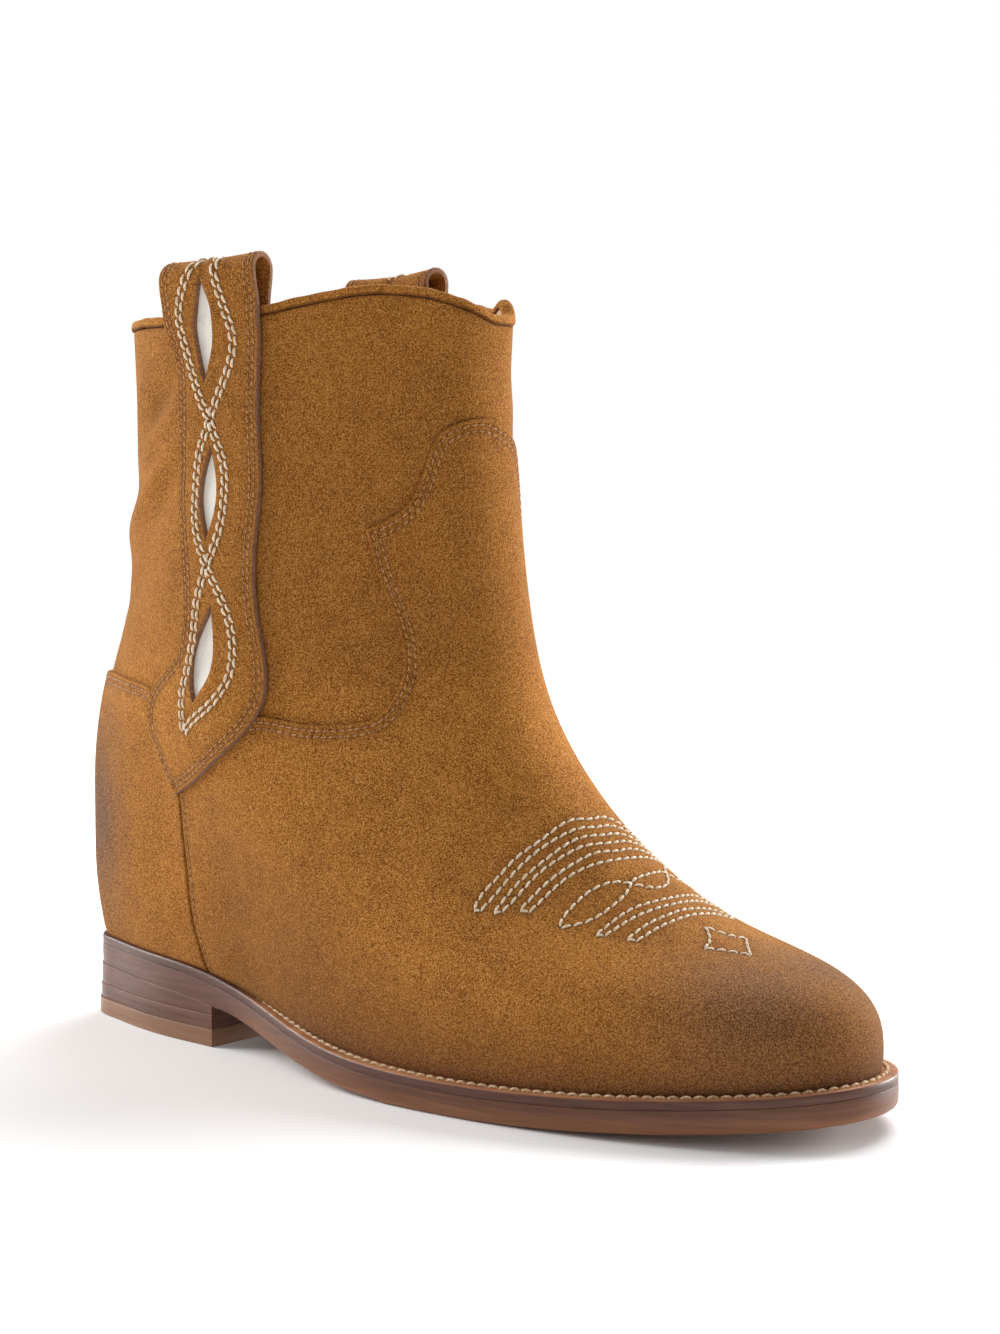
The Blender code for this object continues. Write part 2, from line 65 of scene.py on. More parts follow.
# Each level: the back's x and z, the front's x and z, the end radii, how far it follows the sole's
# curve, and the half-widths at the stations on the lateral and on the medial side.
LAST_LEVELS = (
    (2.2, 24.6, 266.7, 15.2, 24, 24, 1.0,
     (17, 25, 30, 41, 43.5, 38, 25.5), (18, 25.5, 27, 31, 40, 41, 28)),
    (-0.5, 42, 265.5, 27.5, 26, 24, 0.9,
     (19, 28, 34, 43.5, 46.5, 41, 28), (19, 28, 30, 35, 44.5, 45, 30)),
    (-0.5, 60, 255, 36, 28, 19, 0.7,
     (19.5, 28.5, 35.5, 44.5, 47.5, 41.5, 26.5), (20, 29, 32.5, 38, 44.5, 43.5, 28.5)),
    (0.2, 78, 232, 41.5, 30, 17, 0.4,
     (19.5, 29.5, 36.5, 44.5, 46, 38.5, 24), (20, 30, 34, 39.5, 43.5, 39.5, 25)),
    (2.6, 94, 204.5, 55, 31, 17, 0.2,
     (18.5, 29.5, 37.5, 43.5, 42, 34.5, 21), (19, 30, 35.5, 40, 41.5, 35.5, 21.5)),
    (7, 108, 180.5, 75, 32, 19, 0.0,
     (17.5, 29.5, 38, 42, 38.5, 31, 18.5), (18, 29.5, 36, 40, 38.5, 31.5, 18.5)),
    (12.5, 122, 162.5, 99.5, 33, 22, 0.0,
     (17, 28.5, 38, 41, 38, 30, 18), (17, 28.5, 36, 39.5, 37.5, 29.5, 18)),
    (16.5, 142, 154, 130, 34, 24, 0.0,
     (17, 27.5, 37, 40, 38, 30, 18), (17, 28, 35.5, 38.5, 38, 30, 18)),
    (19, 172, 150, 170, 36, 25, 0.0,
     (17, 28, 36.5, 39, 37, 29, 18), (17, 28, 36, 38, 37, 29, 18)),
    (19, 207, 150.5, 205, 38, 26, 0.0,
     (18, 30, 38, 38.5, 36, 28, 17), (17.5, 29, 37, 38, 36, 28, 17)),
)
HUMP_HEIGHT = 7.5
HUMP_PLACE = 0.25
HUMP_BACK = 0.17
SOLE_X = (-5, 0, 30, 60, 80, 100, 120, 140, 165, 190, 220, 250, 271)
SOLE_Z = (24.4, 24.3, 23.5, 21.9, 18.6, 14.8, 11.7, 9.7, 8.8, 9.1, 10.6, 13.1, 15.2)
EDGE_THICKNESS = 8.8
WELT_THICKNESS = 2.6
WELT_GROOVE = 2.7              # from the welt's edge to its stitches
HEEL_MARGIN = 1.6
FOREPART_MARGIN = 4.6
BREAST_S = 0.2525
TOP_PIECE = 5.0
SECOND_LIFT = 9.2
LAYER_GAP = 0.04
TREAD_FLAT = (150, 184)        # where the outsole is worn flat on the ground
SOCK_BASE = 3.4                # the sock's height over the sole in front of the wedge
SOCK_THICKNESS = 1.2
WEDGE_HEIGHT = 24.0
WEDGE_END = 125.0

# Depths of the leathers from the last.
COVER = (-0.6, 0.7)
SHAFT = (-2.1, -0.8)
LINING = (-3.3, -2.4)
STRAP_MIDDLE = 1.5
STRAP_HALF = 0.75
TAB_MIDDLE = -4.2
SIDE_SEAM = 0.53
SEAM_GAP = 0.0012
TOP_EDGE = 0.991               # where the shaft stops under the topline's bead

# Pull loops: the strap's place along itself is v, which is t up to the topline and goes on over the loop.
STRAP_FRONT = 0.436
STRAP_BACK = 0.604
MM_PER_V = 315.0
LOOP_RISE = 13.9
LOOP_RADIUS = (STRAP_MIDDLE - TAB_MIDDLE) / 2 + 1.2
LOOP_LEG = LOOP_RISE - LOOP_RADIUS
LOOP_LENGTH = 2 * LOOP_LEG + pi * LOOP_RADIUS
TAB_LENGTH = 23.0
STRAP_SINK = 0.8               # how much nearer the last the strap lies where no vamp is under it

UV_SCALE = np.array((200.0, 220.0))      # makes places (a, t) roughly even, in mm
PLAN_SCALE = 200.0             # the sole's uv is (x, y) over this


# ---------------------------------------------------------------------------------------------- curves

def cubic(knots, values, end_slopes=None):
    """A cubic spline through values at knots: natural, or with the given slopes at its ends."""
    knots = np.asarray(knots, float)
    values = np.asarray(values, float)
    count = len(knots)
    step = np.diff(knots)
    rise = np.diff(values, axis=0) / step.reshape((-1,) + (1,) * (values.ndim - 1))
    matrix = np.zeros((count, count))
    right = np.zeros_like(values)
    for i in range(1, count - 1):
        matrix[i, i - 1:i + 2] = step[i], 2 * (step[i - 1] + step[i]), step[i - 1]
        right[i] = 3 * (step[i] * rise[i - 1] + step[i - 1] * rise[i])
    if end_slopes is None:
        matrix[0, :2] = 2, 1
        matrix[-1, -2:] = 1, 2
        right[0] = 3 * rise[0]
        right[-1] = 3 * rise[-1]
    else:
        matrix[0, 0] = matrix[-1, -1] = 1
        right[0], right[-1] = end_slopes
    slopes = np.linalg.solve(matrix, right)

    def evaluate(at):
        at = np.asarray(at, float)
        i = np.clip(np.searchsorted(knots, at) - 1, 0, count - 2)
        tail = at.shape + (1,) * (values.ndim - 1)
        h = step[i].reshape(tail)
        u = ((at - knots[i]) / step[i]).reshape(tail)
        start = values[i] * (1 + 2 * u) * (1 - u) ** 2 + slopes[i] * h * u * (1 - u) ** 2
        end = values[i + 1] * u * u * (3 - 2 * u) - slopes[i + 1] * h * u * u * (1 - u)
        return start + end

    return evaluate


def ease(x):
    x = np.clip(x, 0, 1)
    return x * x * (3 - 2 * x)


def bell(x):
    return np.exp(-np.square(x))


def lengths(points):
    """Distances along a line to each of its points."""
    return np.concatenate([[0], np.cumsum(np.linalg.norm(np.diff(points, axis=0), axis=1))])


def curve(points, samples=240):
    """A smooth line through points, as samples; two points give a straight one."""
    points = np.asarray(points, float)
    knots = lengths(points * UV_SCALE)
    return cubic(knots, points)(np.linspace(0, knots[-1], samples))


# ------------------------------------------------------------------------------------------- surfaces

level_at = cubic(np.linspace(0, 1, len(LAST_LEVELS)), [row[:7] + row[7] + row[8] for row in LAST_LEVELS])
sole_top = cubic(SOLE_X, SOLE_Z)


def scallop(around):
    """How far the topline stands over its plain line, in mm: a V at the front and a hump on each side."""
    off = np.abs(around)
    front = 1 - np.clip(1 - off / HUMP_PLACE, 0, 1) ** 1.6
    lateral = np.where(off < HUMP_PLACE, front, bell((off - HUMP_PLACE) / HUMP_BACK))
    medial = 0.70 * bell((off - 0.34) / 0.115) + 0.62 * bell((off - 0.172) / 0.05)
    return HUMP_HEIGHT * np.where(around < 0, lateral, medial)


def last_points(around, t):
    """Points of the last at level t, one for each place in around."""
    level = level_at(t)
    back_x, back_z, front_x, front_z, back_radius, front_radius, follow = level[:7]
    around = (np.asarray(around, float) + 1) % 2 - 1
    s = (1 - np.cos(pi * (1 - np.abs(around)))) / 2
    length = front_x - back_x
    heel_x, heel_z, toe_x, toe_z = LAST_LEVELS[0][:4]
    sag = heel_z + (toe_z - heel_z) * s - sole_top(heel_x + (toe_x - heel_x) * s)
    x = back_x + length * s
    z = back_z + (front_z - back_z) * s - follow * sag + ease((t - 0.8) / 0.2) * scallop(around)
    sides = []
    for half_widths in (level[7:14], level[14:21]):
        squares = np.concatenate([[0], np.square(half_widths), [0]])
        ends = (2 * back_radius * length, -2 * front_radius * length)
        sides.append(np.sqrt(np.maximum(cubic((0, *STATIONS, 1), squares, ends)(s), 0)))
    return np.stack([x, np.where(around < 0, -sides[0], sides[1]), z], axis=1)


AROUND = 960                   # nodes of the last's grid
ROWS = 320


def build_last():
    """The last as a fine grid of points and outward directions."""
    around = np.arange(AROUND) * 2 / AROUND - 1
    points = np.array([last_points(around, k / ROWS) for k in range(ROWS + 1)])
    along = np.roll(points, -1, axis=1) - np.roll(points, 1, axis=1)
    normals = np.cross(along, np.gradient(points, axis=0))
    return points, normals / np.linalg.norm(normals, axis=2, keepdims=True)


LAST_POINTS, LAST_NORMALS = build_last()


def on_last(grid, uv):
    """A grid's values at places (a, t), between its nodes."""
    column = (uv[:, 0] + 1) * AROUND / 2
    row = uv[:, 1] * ROWS
    i = np.floor(column).astype(int)
    j = np.clip(np.floor(row).astype(int), 0, ROWS - 1)
    across = (column - i)[:, None]
    up = (row - j)[:, None]
    left, right = i % AROUND, (i + 1) % AROUND
    low = grid[j, left] * (1 - across) + grid[j, right] * across
    high = grid[j + 1, left] * (1 - across) + grid[j + 1, right] * across
    return low * (1 - up) + high * up


# Soft folds of the shaft: place (a, t), direction in degrees, half-length and half-width in mm, height in mm.
FOLDS = (
    (-0.715, 0.940, 27, 14, 3.6, 1.1),
    (-0.665, 0.919, 27, 16, 3.6, -2.0),
    (-0.69, 0.888, 20, 18, 4.0, 1.2),
    (-0.67, 0.872, 26, 14, 3.0, -0.8),
    (-0.68, 0.855, 26, 20, 3.8, 2.0),
    (-0.66, 0.833, 30, 14, 4.0, -1.5),
    (-0.80, 0.850, 5, 16, 4.5, -1.4),
    (-0.85, 0.800, 10, 24, 7, 1.6),
    (-0.76, 0.735, 25, 22, 5, -1.1),
    (-0.02, 0.950, 0, 26, 6, -1.1),
    (-0.02, 0.918, 0, 26, 4, 0.9),
    (-0.30, 0.880, 30, 26, 10, -0.7),
    (-0.34, 0.740, 30, 28, 9, -1.0),
    (-0.20, 0.600, 20, 30, 8, 0.7),
    (0.72, 0.915, -14, 18, 4, -1.4),
    (0.70, 0.872, -22, 19, 4, 1.4),
    (0.84, 0.810, -8, 24, 7, 1.2),
    (0.78, 0.740, -20, 22, 6, -0.8),
    (0.30, 0.720, -35, 30, 9, -0.8),
)
MM_PER_A = 190.0
MM_PER_T = 240.0


def folds(uv):
    """How far the leather stands out of its plain shape, in mm."""
    total = np.zeros(len(uv))
    for a, t, angle, length, width, height in FOLDS:
        x = ((uv[:, 0] - a + 1) % 2 - 1) * MM_PER_A
        y = (uv[:, 1] - t) * MM_PER_T
        along = x * cos(radians(angle)) + y * sin(radians(angle))
        across = y * cos(radians(angle)) - x * sin(radians(angle))
        total += height * bell(along / length) * bell(across / width)
    return total * ease((1.0 - uv[:, 1]) / 0.12 + 0.25)


def upper(uv, depth):
    """Place uv = (a, t) of the upper, out from the last by depth."""
    depth = np.broadcast_to(depth, len(uv)) + folds(uv)
    return on_last(LAST_POINTS, uv) + on_last(LAST_NORMALS, uv) * depth[:, None]


def strap_path(h):
    """Depth, height over the topline and outward direction of the strap's middle, h mm past the topline."""
    rise = np.clip(h, 0, LOOP_LEG)
    angle = np.clip((h - LOOP_LEG) / LOOP_RADIUS, 0, pi)
    fall = np.clip(h - LOOP_LEG - pi * LOOP_RADIUS, 0, LOOP_LEG)
    middle = (STRAP_MIDDLE + TAB_MIDDLE) / 2
    foot = (STRAP_MIDDLE - TAB_MIDDLE) / 2
    reach = foot + (LOOP_RADIUS - foot) * ease((rise - fall) / LOOP_LEG)
    depth = middle + reach * np.cos(angle)
    height = rise - fall + LOOP_RADIUS * np.sin(angle)
    return depth, height, np.cos(angle), np.sin(angle)


def strap_surface(uv, depth):
    """The surface of a pull strap; uv = (a, v), and the strap lies close to the shaft above the vamp."""
    offset = np.broadcast_to(depth, len(uv)) - STRAP_MIDDLE
    h = (uv[:, 1] - 1) * MM_PER_V
    path_depth, height, out, up = strap_path(h)
    close = STRAP_SINK * ease((uv[:, 1] - 0.60) / 0.05) * ease((0.995 - uv[:, 1]) / 0.03)
    past = np.maximum(h - LOOP_LENGTH, 0)
    t = np.where(h < 0, uv[:, 1], 1 - past / MM_PER_V)
    place = np.stack([uv[:, 0], np.minimum(t, 1)], axis=1)
    points = upper(place, path_depth - close + offset * out)
    points[:, 2] += height + offset * up
    return points


def level_surface(height):
    """A surface seen from above, whose height over the ground is height(x)."""

    def surface(uv, depth):
        x = uv[:, 0] * PLAN_SCALE
        return np.stack([x, uv[:, 1] * PLAN_SCALE, height(x) + np.broadcast_to(depth, len(uv))], axis=1)

    return surface


def derivatives(surface, uv):
    step = 0.002
    du = (surface(uv + (step, 0), 0) - surface(uv - (step, 0), 0)) / (2 * step)
    dv = (surface(uv + (0, step), 0) - surface(uv - (0, step), 0)) / (2 * step)
    normal = np.cross(du, dv)
    return du, dv, normal / np.linalg.norm(normal, axis=1, keepdims=True)


def unit(vectors):
    return vectors / np.maximum(np.linalg.norm(vectors, axis=1, keepdims=True), 1e-9)


def parallel(surface, line, distance, closed=False):
    """The line moved to its left by distance in mm, without the loops that sharp corners would make."""
    points = surface(line, 0)
    du, dv, normal = derivatives(surface, line)
    ahead = unit(np.roll(points, -1, axis=0) - points)
    behind = unit(points - np.roll(points, 1, axis=0))
    if not closed:
        ahead[-1] = behind[-1]
        behind[0] = ahead[0]
    tangent = unit(ahead + behind)
    reach = 1 / np.maximum((tangent * ahead).sum(axis=1), 0.5)
    move = unit(np.cross(normal, tangent)) * (distance * reach)[:, None]
    uu, vv, uv = (du * du).sum(1), (dv * dv).sum(1), (du * dv).sum(1)
    mu, mv = (du * move).sum(1), (dv * move).sum(1)
    scale = uu * vv - uv * uv
    moved = line + np.stack([(mu * vv - mv * uv) / scale, (mv * uu - mu * uv) / scale], axis=1)
    gaps = np.linalg.norm(surface(moved, 0)[:, None] - points[None], axis=2).min(axis=1)
    return moved[gaps > 0.93 * abs(distance)]


def spaced(surface, line, pitch):
    """The line's places at equal distances of about pitch, both ends included."""
    run = lengths(surface(line, 0))
    count = max(round(run[-1] / pitch), 1)
    at = np.linspace(0, run[-1], count + 1)
    return np.stack([np.interp(at, run, line[:, k]) for k in (0, 1)], axis=1)


def outline_of(surface, runs, step=1.2):
    """A closed outline from its runs, which meet at corners."""
    return np.concatenate([spaced(surface, curve(run), step)[:-1] for run in runs])


def distances(points, cloud):
    tree = KDTree(len(cloud))
    for k, point in enumerate(cloud):
        tree.insert(point, k)
    tree.balance()
    return np.array([tree.find(point)[2] for point in points])


# --------------------------------------------------------------------------------------------- meshes

def signed_area(loop):
    x, y = loop[:, 0], loop[:, 1]
    return float(np.sum(x * np.roll(y, -1) - np.roll(x, -1) * y))


def free_grid(taken, low, high, spacing):
    """Points of a triangular grid from low to high, without those close to a taken point."""
    x, y = np.meshgrid(np.arange(low[0], high[0], spacing), np.arange(low[1], high[1], spacing * 0.87))
    x[1::2] += spacing / 2
    grid = np.stack([x.ravel(), y.ravel()], axis=1)
    cell = spacing * 0.6
    busy = set()
    for i, j in np.floor(taken / cell).astype(int):
        busy.update(((i, j), (i - 1, j), (i + 1, j), (i, j - 1), (i, j + 1)))
    free = [tuple(key) not in busy for key in np.floor(grid / cell).astype(int)]
    return grid[free]


def tessellate(loops, lines, spacing):
    """Triangles over the first loop less the others, with corners on every loop and line and on a grid."""
    verts = []
    edges = []
    faces = []
    total = 0
    for loop in loops:
        loop = loop if signed_area(loop) > 0 else loop[::-1]
        faces.append(list(range(total, total + len(loop))))
        verts.append(loop * UV_SCALE)
        total += len(loop)
    for line, closed in lines:
        if len(line) < 2:
            continue
        edges += [(total + k, total + k + 1) for k in range(len(line) - 1)]
        if closed:
            edges.append((total + len(line) - 1, total))
        verts.append(line * UV_SCALE)
        total += len(line)
    taken = np.concatenate(verts)
    grid = free_grid(taken, verts[0].min(axis=0), verts[0].max(axis=0), spacing)
    points = [Vector(p) for p in np.concatenate([taken, grid])]
    made, _, triangles, _, _, sources = delaunay_2d_cdt(points, edges, faces, 0, 1e-5)
    kept = [tri for tri, source in zip(triangles, sources) if 0 in source and len(source) == 1]
    used = sorted({k for tri in kept for k in tri})
    number = {k: n for n, k in enumerate(used)}
    uv = np.array([made[k] for k in used]) / UV_SCALE
    return uv, [tuple(number[k] for k in tri) for tri in kept]


def boundary(triangles):
    """The directed edges with one triangle, and the closed loops that they make."""
    directed = {(tri[k], tri[(k + 1) % 3]) for tri in triangles for k in range(3)}
    edges = [edge for edge in directed if edge[::-1] not in directed]
    following = dict(edges)
    loops = []
    while following:
        first, current = following.popitem()
        loop = [first]
        while current != first:
            loop.append(current)
            current = following.pop(current)
        loops.append(loop)
    return loops


def add_mesh(name, points, faces, materials, indices=None, attributes=None):
    """A smooth-shaded object from points in the design's mm."""
    mesh = bpy.data.meshes.new(name)
    mesh.from_pydata(((np.asarray(points) - ORIGIN) * MM).tolist(), [], faces)
    for material in materials:
        mesh.materials.append(material)
    if indices is not None:
        mesh.polygons.foreach_set("material_index", indices)
    for label, values in (attributes or {}).items():
        mesh.attributes.new(label, "FLOAT", "POINT").data.foreach_set("value", np.asarray(values, np.float32))
    mesh.shade_smooth()
    mesh.set_sharp_from_angle(angle=radians(48))
    made = bpy.data.objects.new(name, mesh)
    bpy.context.scene.collection.objects.link(made)
    return made


def painted_shade(points):
    """How far the suede is darker, from 0 to 1: painted shade towards the welt and on the shaft, and darker
    on the heel counter.
    """
    x, z = points[:, 0], points[:, 2]
    reach = 56 - 34 * ease((x - 90) / 90)
    low = 0.60 * bell((z - sole_top(np.clip(x, -5, 271))) / reach) * ease((x - 40) / 50)
    shaft = 0.29 * ease((z - 96) / 22)
    counter = 0.24 * ease((66 - x) / 20) * ease((100 - z) / 10)
    return np.maximum(np.maximum(low, shaft), counter)


def burnish_and_painted_shade(points):
    """How far the finish is darkened by hand on the toe and heel, with a darker band over the welt and
    painted shade up the lower upper, from 0 to 1.
    """
    x, y, z = points[:, 0], points[:, 1], points[:, 2]
    toe = 0.50 * bell(np.hypot(x - 244, (np.abs(y) - 16) * 0.9) / 20) * ease((z - 14) / 14)
    tip = 0.22 * ease((x - 212) / 45)
    heel = 1.12 * bell(np.square(np.maximum(x + 3, 0) / 30)) * bell((z - 62) / 31)
    # A narrow darker band right over the welt, and a wide one up the lower upper that is painted shade.
    over_sole = z - sole_top(np.clip(x, -5, 271))
    edge = (0.42 * bell(over_sole / 7) + 0.12 * bell(over_sole / 30)) * ease((x - 70) / 60)
    return np.clip(toe + tip + heel + edge, 0, 1)


def between(line):
    """The line with a point added half-way between each two."""
    doubled = np.empty((2 * len(line) - 1, 2))
    doubled[::2] = line
    doubled[1::2] = (line[:-1] + line[1:]) / 2
    return doubled


def fine_line(points, step):
    """Points along a line at about step apart."""
    run = lengths(points)
    at = np.linspace(0, run[-1], max(ceil(run[-1] / step), 1) + 1)
    return np.stack([np.interp(at, run, points[:, k]) for k in range(3)], axis=1)


def support_lines(surface, loops, seams, edge):
    """Lines that the mesh of a sheet needs corners on: along its rounded edges and its seams."""
    lines = []
    for number, loop in enumerate(loops):
        ordered = loop if signed_area(loop) > 0 else loop[::-1]
        side = -1 if number else 1
        for share in (0.134, 0.5, 1.0, 2.4):
            lines.append((parallel(surface, ordered, side * share * edge, closed=True), True))
    for needle_holes, _ in seams:
        short = len(needle_holes) < 3
        dense = spaced(surface, needle_holes, 1.0) if short else between(needle_holes)
        lines.append((dense, False))
        for shift in (-0.8, 0.8):
            lines.append((parallel(surface, dense, shift), False))
    return lines


def sunk_seams(surface, plain, depth, seams):
    """How far the seams sink the face at its points, in mm, and how dark they make it: pressed nap, with
    painted shade in the sunk rows and needle holes.
    """
    drop = np.zeros(len(plain))
    seam = np.zeros(len(plain))
    for needle_holes, sink in seams:
        gap = distances(plain, fine_line(surface(between(needle_holes), depth), 0.3))
        hole_gap = distances(plain, surface(needle_holes, depth))
        drop += sink * (0.5 * bell(gap / 0.7) + 0.5 * bell(hole_gap / 0.6))
        # Darker along the row and most at the needle holes: painted shade of the sunk row and holes, with
        # some pressed nap.
        seam = np.maximum(seam, sink * 4 * (0.30 * bell(gap / 1.0) + 0.70 * bell(hole_gap / 0.6)))
    return drop, seam


def cut_faces(rims, uv, back_uv):
    """Faces of the cut edge, from the front's rims to the same places on the back."""
    below = {tuple(np.round(place, 7)): k for k, place in enumerate(back_uv)}
    faces = []
    for rim in rims:
        feet = [below.get(tuple(np.round(uv[k], 7))) for k in rim]
        if None in feet:
            feet = [int(np.argmin(np.square(back_uv - uv[k]).sum(axis=1))) for k in rim]
        for k in range(len(rim)):
            n = (k + 1) % len(rim)
            faces.append((rim[n], rim[k], len(uv) + feet[k], len(uv) + feet[n]))
    return faces


def shell(name, surface, outline, depths, materials, holes=(), seams=(), spacing=2.2, edge=0.45,
          feather=0.0, inward=False):
    """A sheet of leather between two depths: rounded edges, sunk seams. materials: face and cut edge.

    seams are (places of the needle holes, sink in mm). feather turns its lower edge in. The finished
    face is the outer one, or with inward the inner one.
    """
    inner, outer = reversed(depths) if inward else depths
    loops = [outline, *holes]
    uv, triangles = tessellate(loops, support_lines(surface, loops, seams, edge), spacing)
    rims = sorted(boundary(triangles), key=len, reverse=True)
    back_uv, back_triangles = tessellate([uv[rim] for rim in rims], [], spacing * (1.1 if inward else 2.5))

    plain = surface(uv, outer)
    rim_points = np.concatenate([fine_line(surface(uv[rim + rim[:1]], outer), 0.1) for rim in rims])
    apart = distances(plain, rim_points)
    rounding = edge - np.sqrt(np.maximum(edge ** 2 - np.square(np.maximum(edge - apart, 0)), 0))
    drop, seam = sunk_seams(surface, plain, outer, seams)
    height = outer - (rounding + drop) * (-1 if inward else 1)
    if feather:
        height = height - feather * np.square(np.clip(1 - uv[:, 1] * MM_PER_T / 5, 0, 1))
    points = np.concatenate([surface(uv, height), surface(back_uv, inner)])

    count = len(uv)
    faces = list(triangles) + [tuple(count + k for k in reversed(tri)) for tri in back_triangles]
    face_apart = apart[np.array(triangles)].mean(axis=1)
    indices = list((face_apart < edge * 0.45).astype(int)) + [0] * len(back_triangles)
    sides = cut_faces(rims, uv, back_uv)
    faces += sides
    indices += [1] * len(sides)
    if inward:
        faces = [face[::-1] for face in faces]
    # Painted shade in the fold valleys; the seam attribute carries it with the seams' darkening and the
    # painted shade towards the welt and on the shaft.
    painted_crease_shade = np.clip(-0.34 * folds(uv), 0, 0.6) if surface is upper else np.zeros(count)
    dark = np.concatenate([np.clip(np.maximum(seam, painted_crease_shade), 0, 1), np.zeros(len(back_uv))])
    attributes = {"seam": np.maximum(dark, painted_shade(points)), "burnish_and_painted_shade": burnish_and_painted_shade(points)}
    return add_mesh(name, points, faces, materials, indices, attributes)


def ring_faces(rings, size, closed):
    """Faces between rings of size points each; closed joins the last ring to the first."""
    faces = []
    for j in range(rings if closed else rings - 1):
        above = (j + 1) % rings
        for i in range(size):
            n = (i + 1) % size
            faces.append((j * size + i, j * size + n, above * size + n, above * size + i))
    return faces


def stitches(name, surface, rows, depth, radius, material, slant=0.12, rings=7, sides=7):
    """One thread loop from each needle hole of the rows to the next."""
    starts = np.concatenate([row[:-1] for row in rows])
    ends = np.concatenate([row[1:] for row in rows])
    s = np.linspace(0, 1, rings)
    girth = radius * np.power(np.maximum(1 - np.abs(2 * s - 1) ** 2.6, 0.02), 0.5)
    lift = radius * (-0.9 + 1.45 * np.sin(pi * s) ** 0.6)
    centres = []
    for place, height in zip(s, lift):
        centres.append(surface(starts + (ends - starts) * place, depth + height))
    centres = np.array(centres)
    middle = (starts + ends) / 2
    _, _, normal = derivatives(surface, middle)
    along = unit(centres[-1] - centres[0])
    across = unit(np.cross(normal, along))
    points = []
    for k in range(rings):
        sway = across * (slant * (2 * s[k] - 1))
        for m in range(sides):
            angle = 2 * pi * m / sides
            ring = across * (girth[k] * cos(angle)) + normal * (girth[k] * sin(angle) * 0.85)
            points.append(centres[k] + sway + ring)
    points = np.array(points).transpose(1, 0, 2).reshape(-1, 3)
    faces = []
    for n in range(len(starts)):
        base = n * rings * sides
        for k in range(rings - 1):
            for m in range(sides):
                a = base + k * sides + m
                b = base + k * sides + (m + 1) % sides
                faces.append((a, b, b + sides, a + sides))
        faces.append(tuple(base + m for m in reversed(range(sides))))
        faces.append(tuple(base + (rings - 1) * sides + m for m in range(sides)))
    return add_mesh(name, points, faces, [material])


# ------------------------------------------------------------------------------------------ materials

class Nodes:
    """A material's node tree, built up call by call."""

    def __init__(self, name):
        self.material = bpy.data.materials.new(name)
        self.material.use_nodes = True
        self.tree = self.material.node_tree
        self.shader = self.tree.nodes["Principled BSDF"]
        self.place = self.add("ShaderNodeTexCoord").outputs["Object"]

    def add(self, kind, **settings):
        node = self.tree.nodes.new(kind)
        for key, value in settings.items():
            setattr(node, key, value)
        return node

    def put(self, value, socket):
        if isinstance(value, bpy.types.NodeSocket):
            self.tree.links.new(value, socket)
        elif isinstance(value, tuple):
            socket.default_value = (*value, 1)[:len(socket.default_value)]
        else:
            socket.default_value = value

    def noise(self, scale, detail=3.0, roughness=0.55, stretch=None, distortion=0.0):
        """Noise about 0.5; stretch makes it longer along x, y or z."""
        node = self.add("ShaderNodeTexNoise")
        place = self.place
        if stretch:
            mapping = self.add("ShaderNodeMapping")
            mapping.inputs["Scale"].default_value = stretch
            self.put(place, mapping.inputs["Vector"])
            place = mapping.outputs["Vector"]
        self.put(place, node.inputs["Vector"])
        for key, value in (("Scale", scale), ("Detail", detail), ("Roughness", roughness),
                           ("Distortion", distortion)):
            node.inputs[key].default_value = value
        return node.outputs["Fac"]

    def cells(self, scale):
        node = self.add("ShaderNodeTexVoronoi")
        self.put(self.place, node.inputs["Vector"])
        node.inputs["Scale"].default_value = scale
        return node.outputs["Distance"]

    def math(self, operation, a, b=0.0, clamp=False):
        node = self.add("ShaderNodeMath", operation=operation, use_clamp=clamp)
        self.put(a, node.inputs[0])
        self.put(b, node.inputs[1])
        return node.outputs[0]

    def span(self, value, low, high, start=0.0, end=1.0):
        node = self.add("ShaderNodeMapRange")
        self.put(value, node.inputs["Value"])
        for key, number in (("From Min", low), ("From Max", high), ("To Min", start), ("To Max", end)):
            node.inputs[key].default_value = number
        return node.outputs["Result"]

    def mix(self, share, a, b):
        node = self.add("ShaderNodeMix", data_type="RGBA")
        self.put(share, node.inputs["Factor"])
        self.put(a, node.inputs["A"])
        self.put(b, node.inputs["B"])
        return node.outputs["Result"]

    def attribute(self, name):
        return self.add("ShaderNodeAttribute", attribute_name=name).outputs["Fac"]

    def bump(self, *layers):
        """Bumps from (height, distance in m, strength), the broadest first."""
        normal = None
        for height, distance, strength in layers:
            node = self.add("ShaderNodeBump")
            self.put(height, node.inputs["Height"])
            node.inputs["Distance"].default_value = distance
            node.inputs["Strength"].default_value = strength
            if normal is not None:
                self.put(normal, node.inputs["Normal"])
            normal = node.outputs["Normal"]
        self.put(normal, self.shader.inputs["Normal"])

    def constants(self, values):
        """Plain values for the shader's own sockets."""
        for key, value in values.items():
            self.put(value, self.shader.inputs[key])

    def finish(self, colour, roughness):
        self.put(colour, self.shader.inputs["Base Color"])
        self.put(roughness, self.shader.inputs["Roughness"])
        return self.material


TAN_DEEP = (0.295, 0.096, 0.011)
TAN = (0.425, 0.152, 0.020)
TAN_PALE = (0.520, 0.218, 0.040)
TAN_TIP = (0.68, 0.35, 0.10)
TAN_SHADE = (0.095, 0.030, 0.006)
BURNISHED = (0.062, 0.028, 0.016)
BURNISHED_TIP = (0.285, 0.170, 0.108)


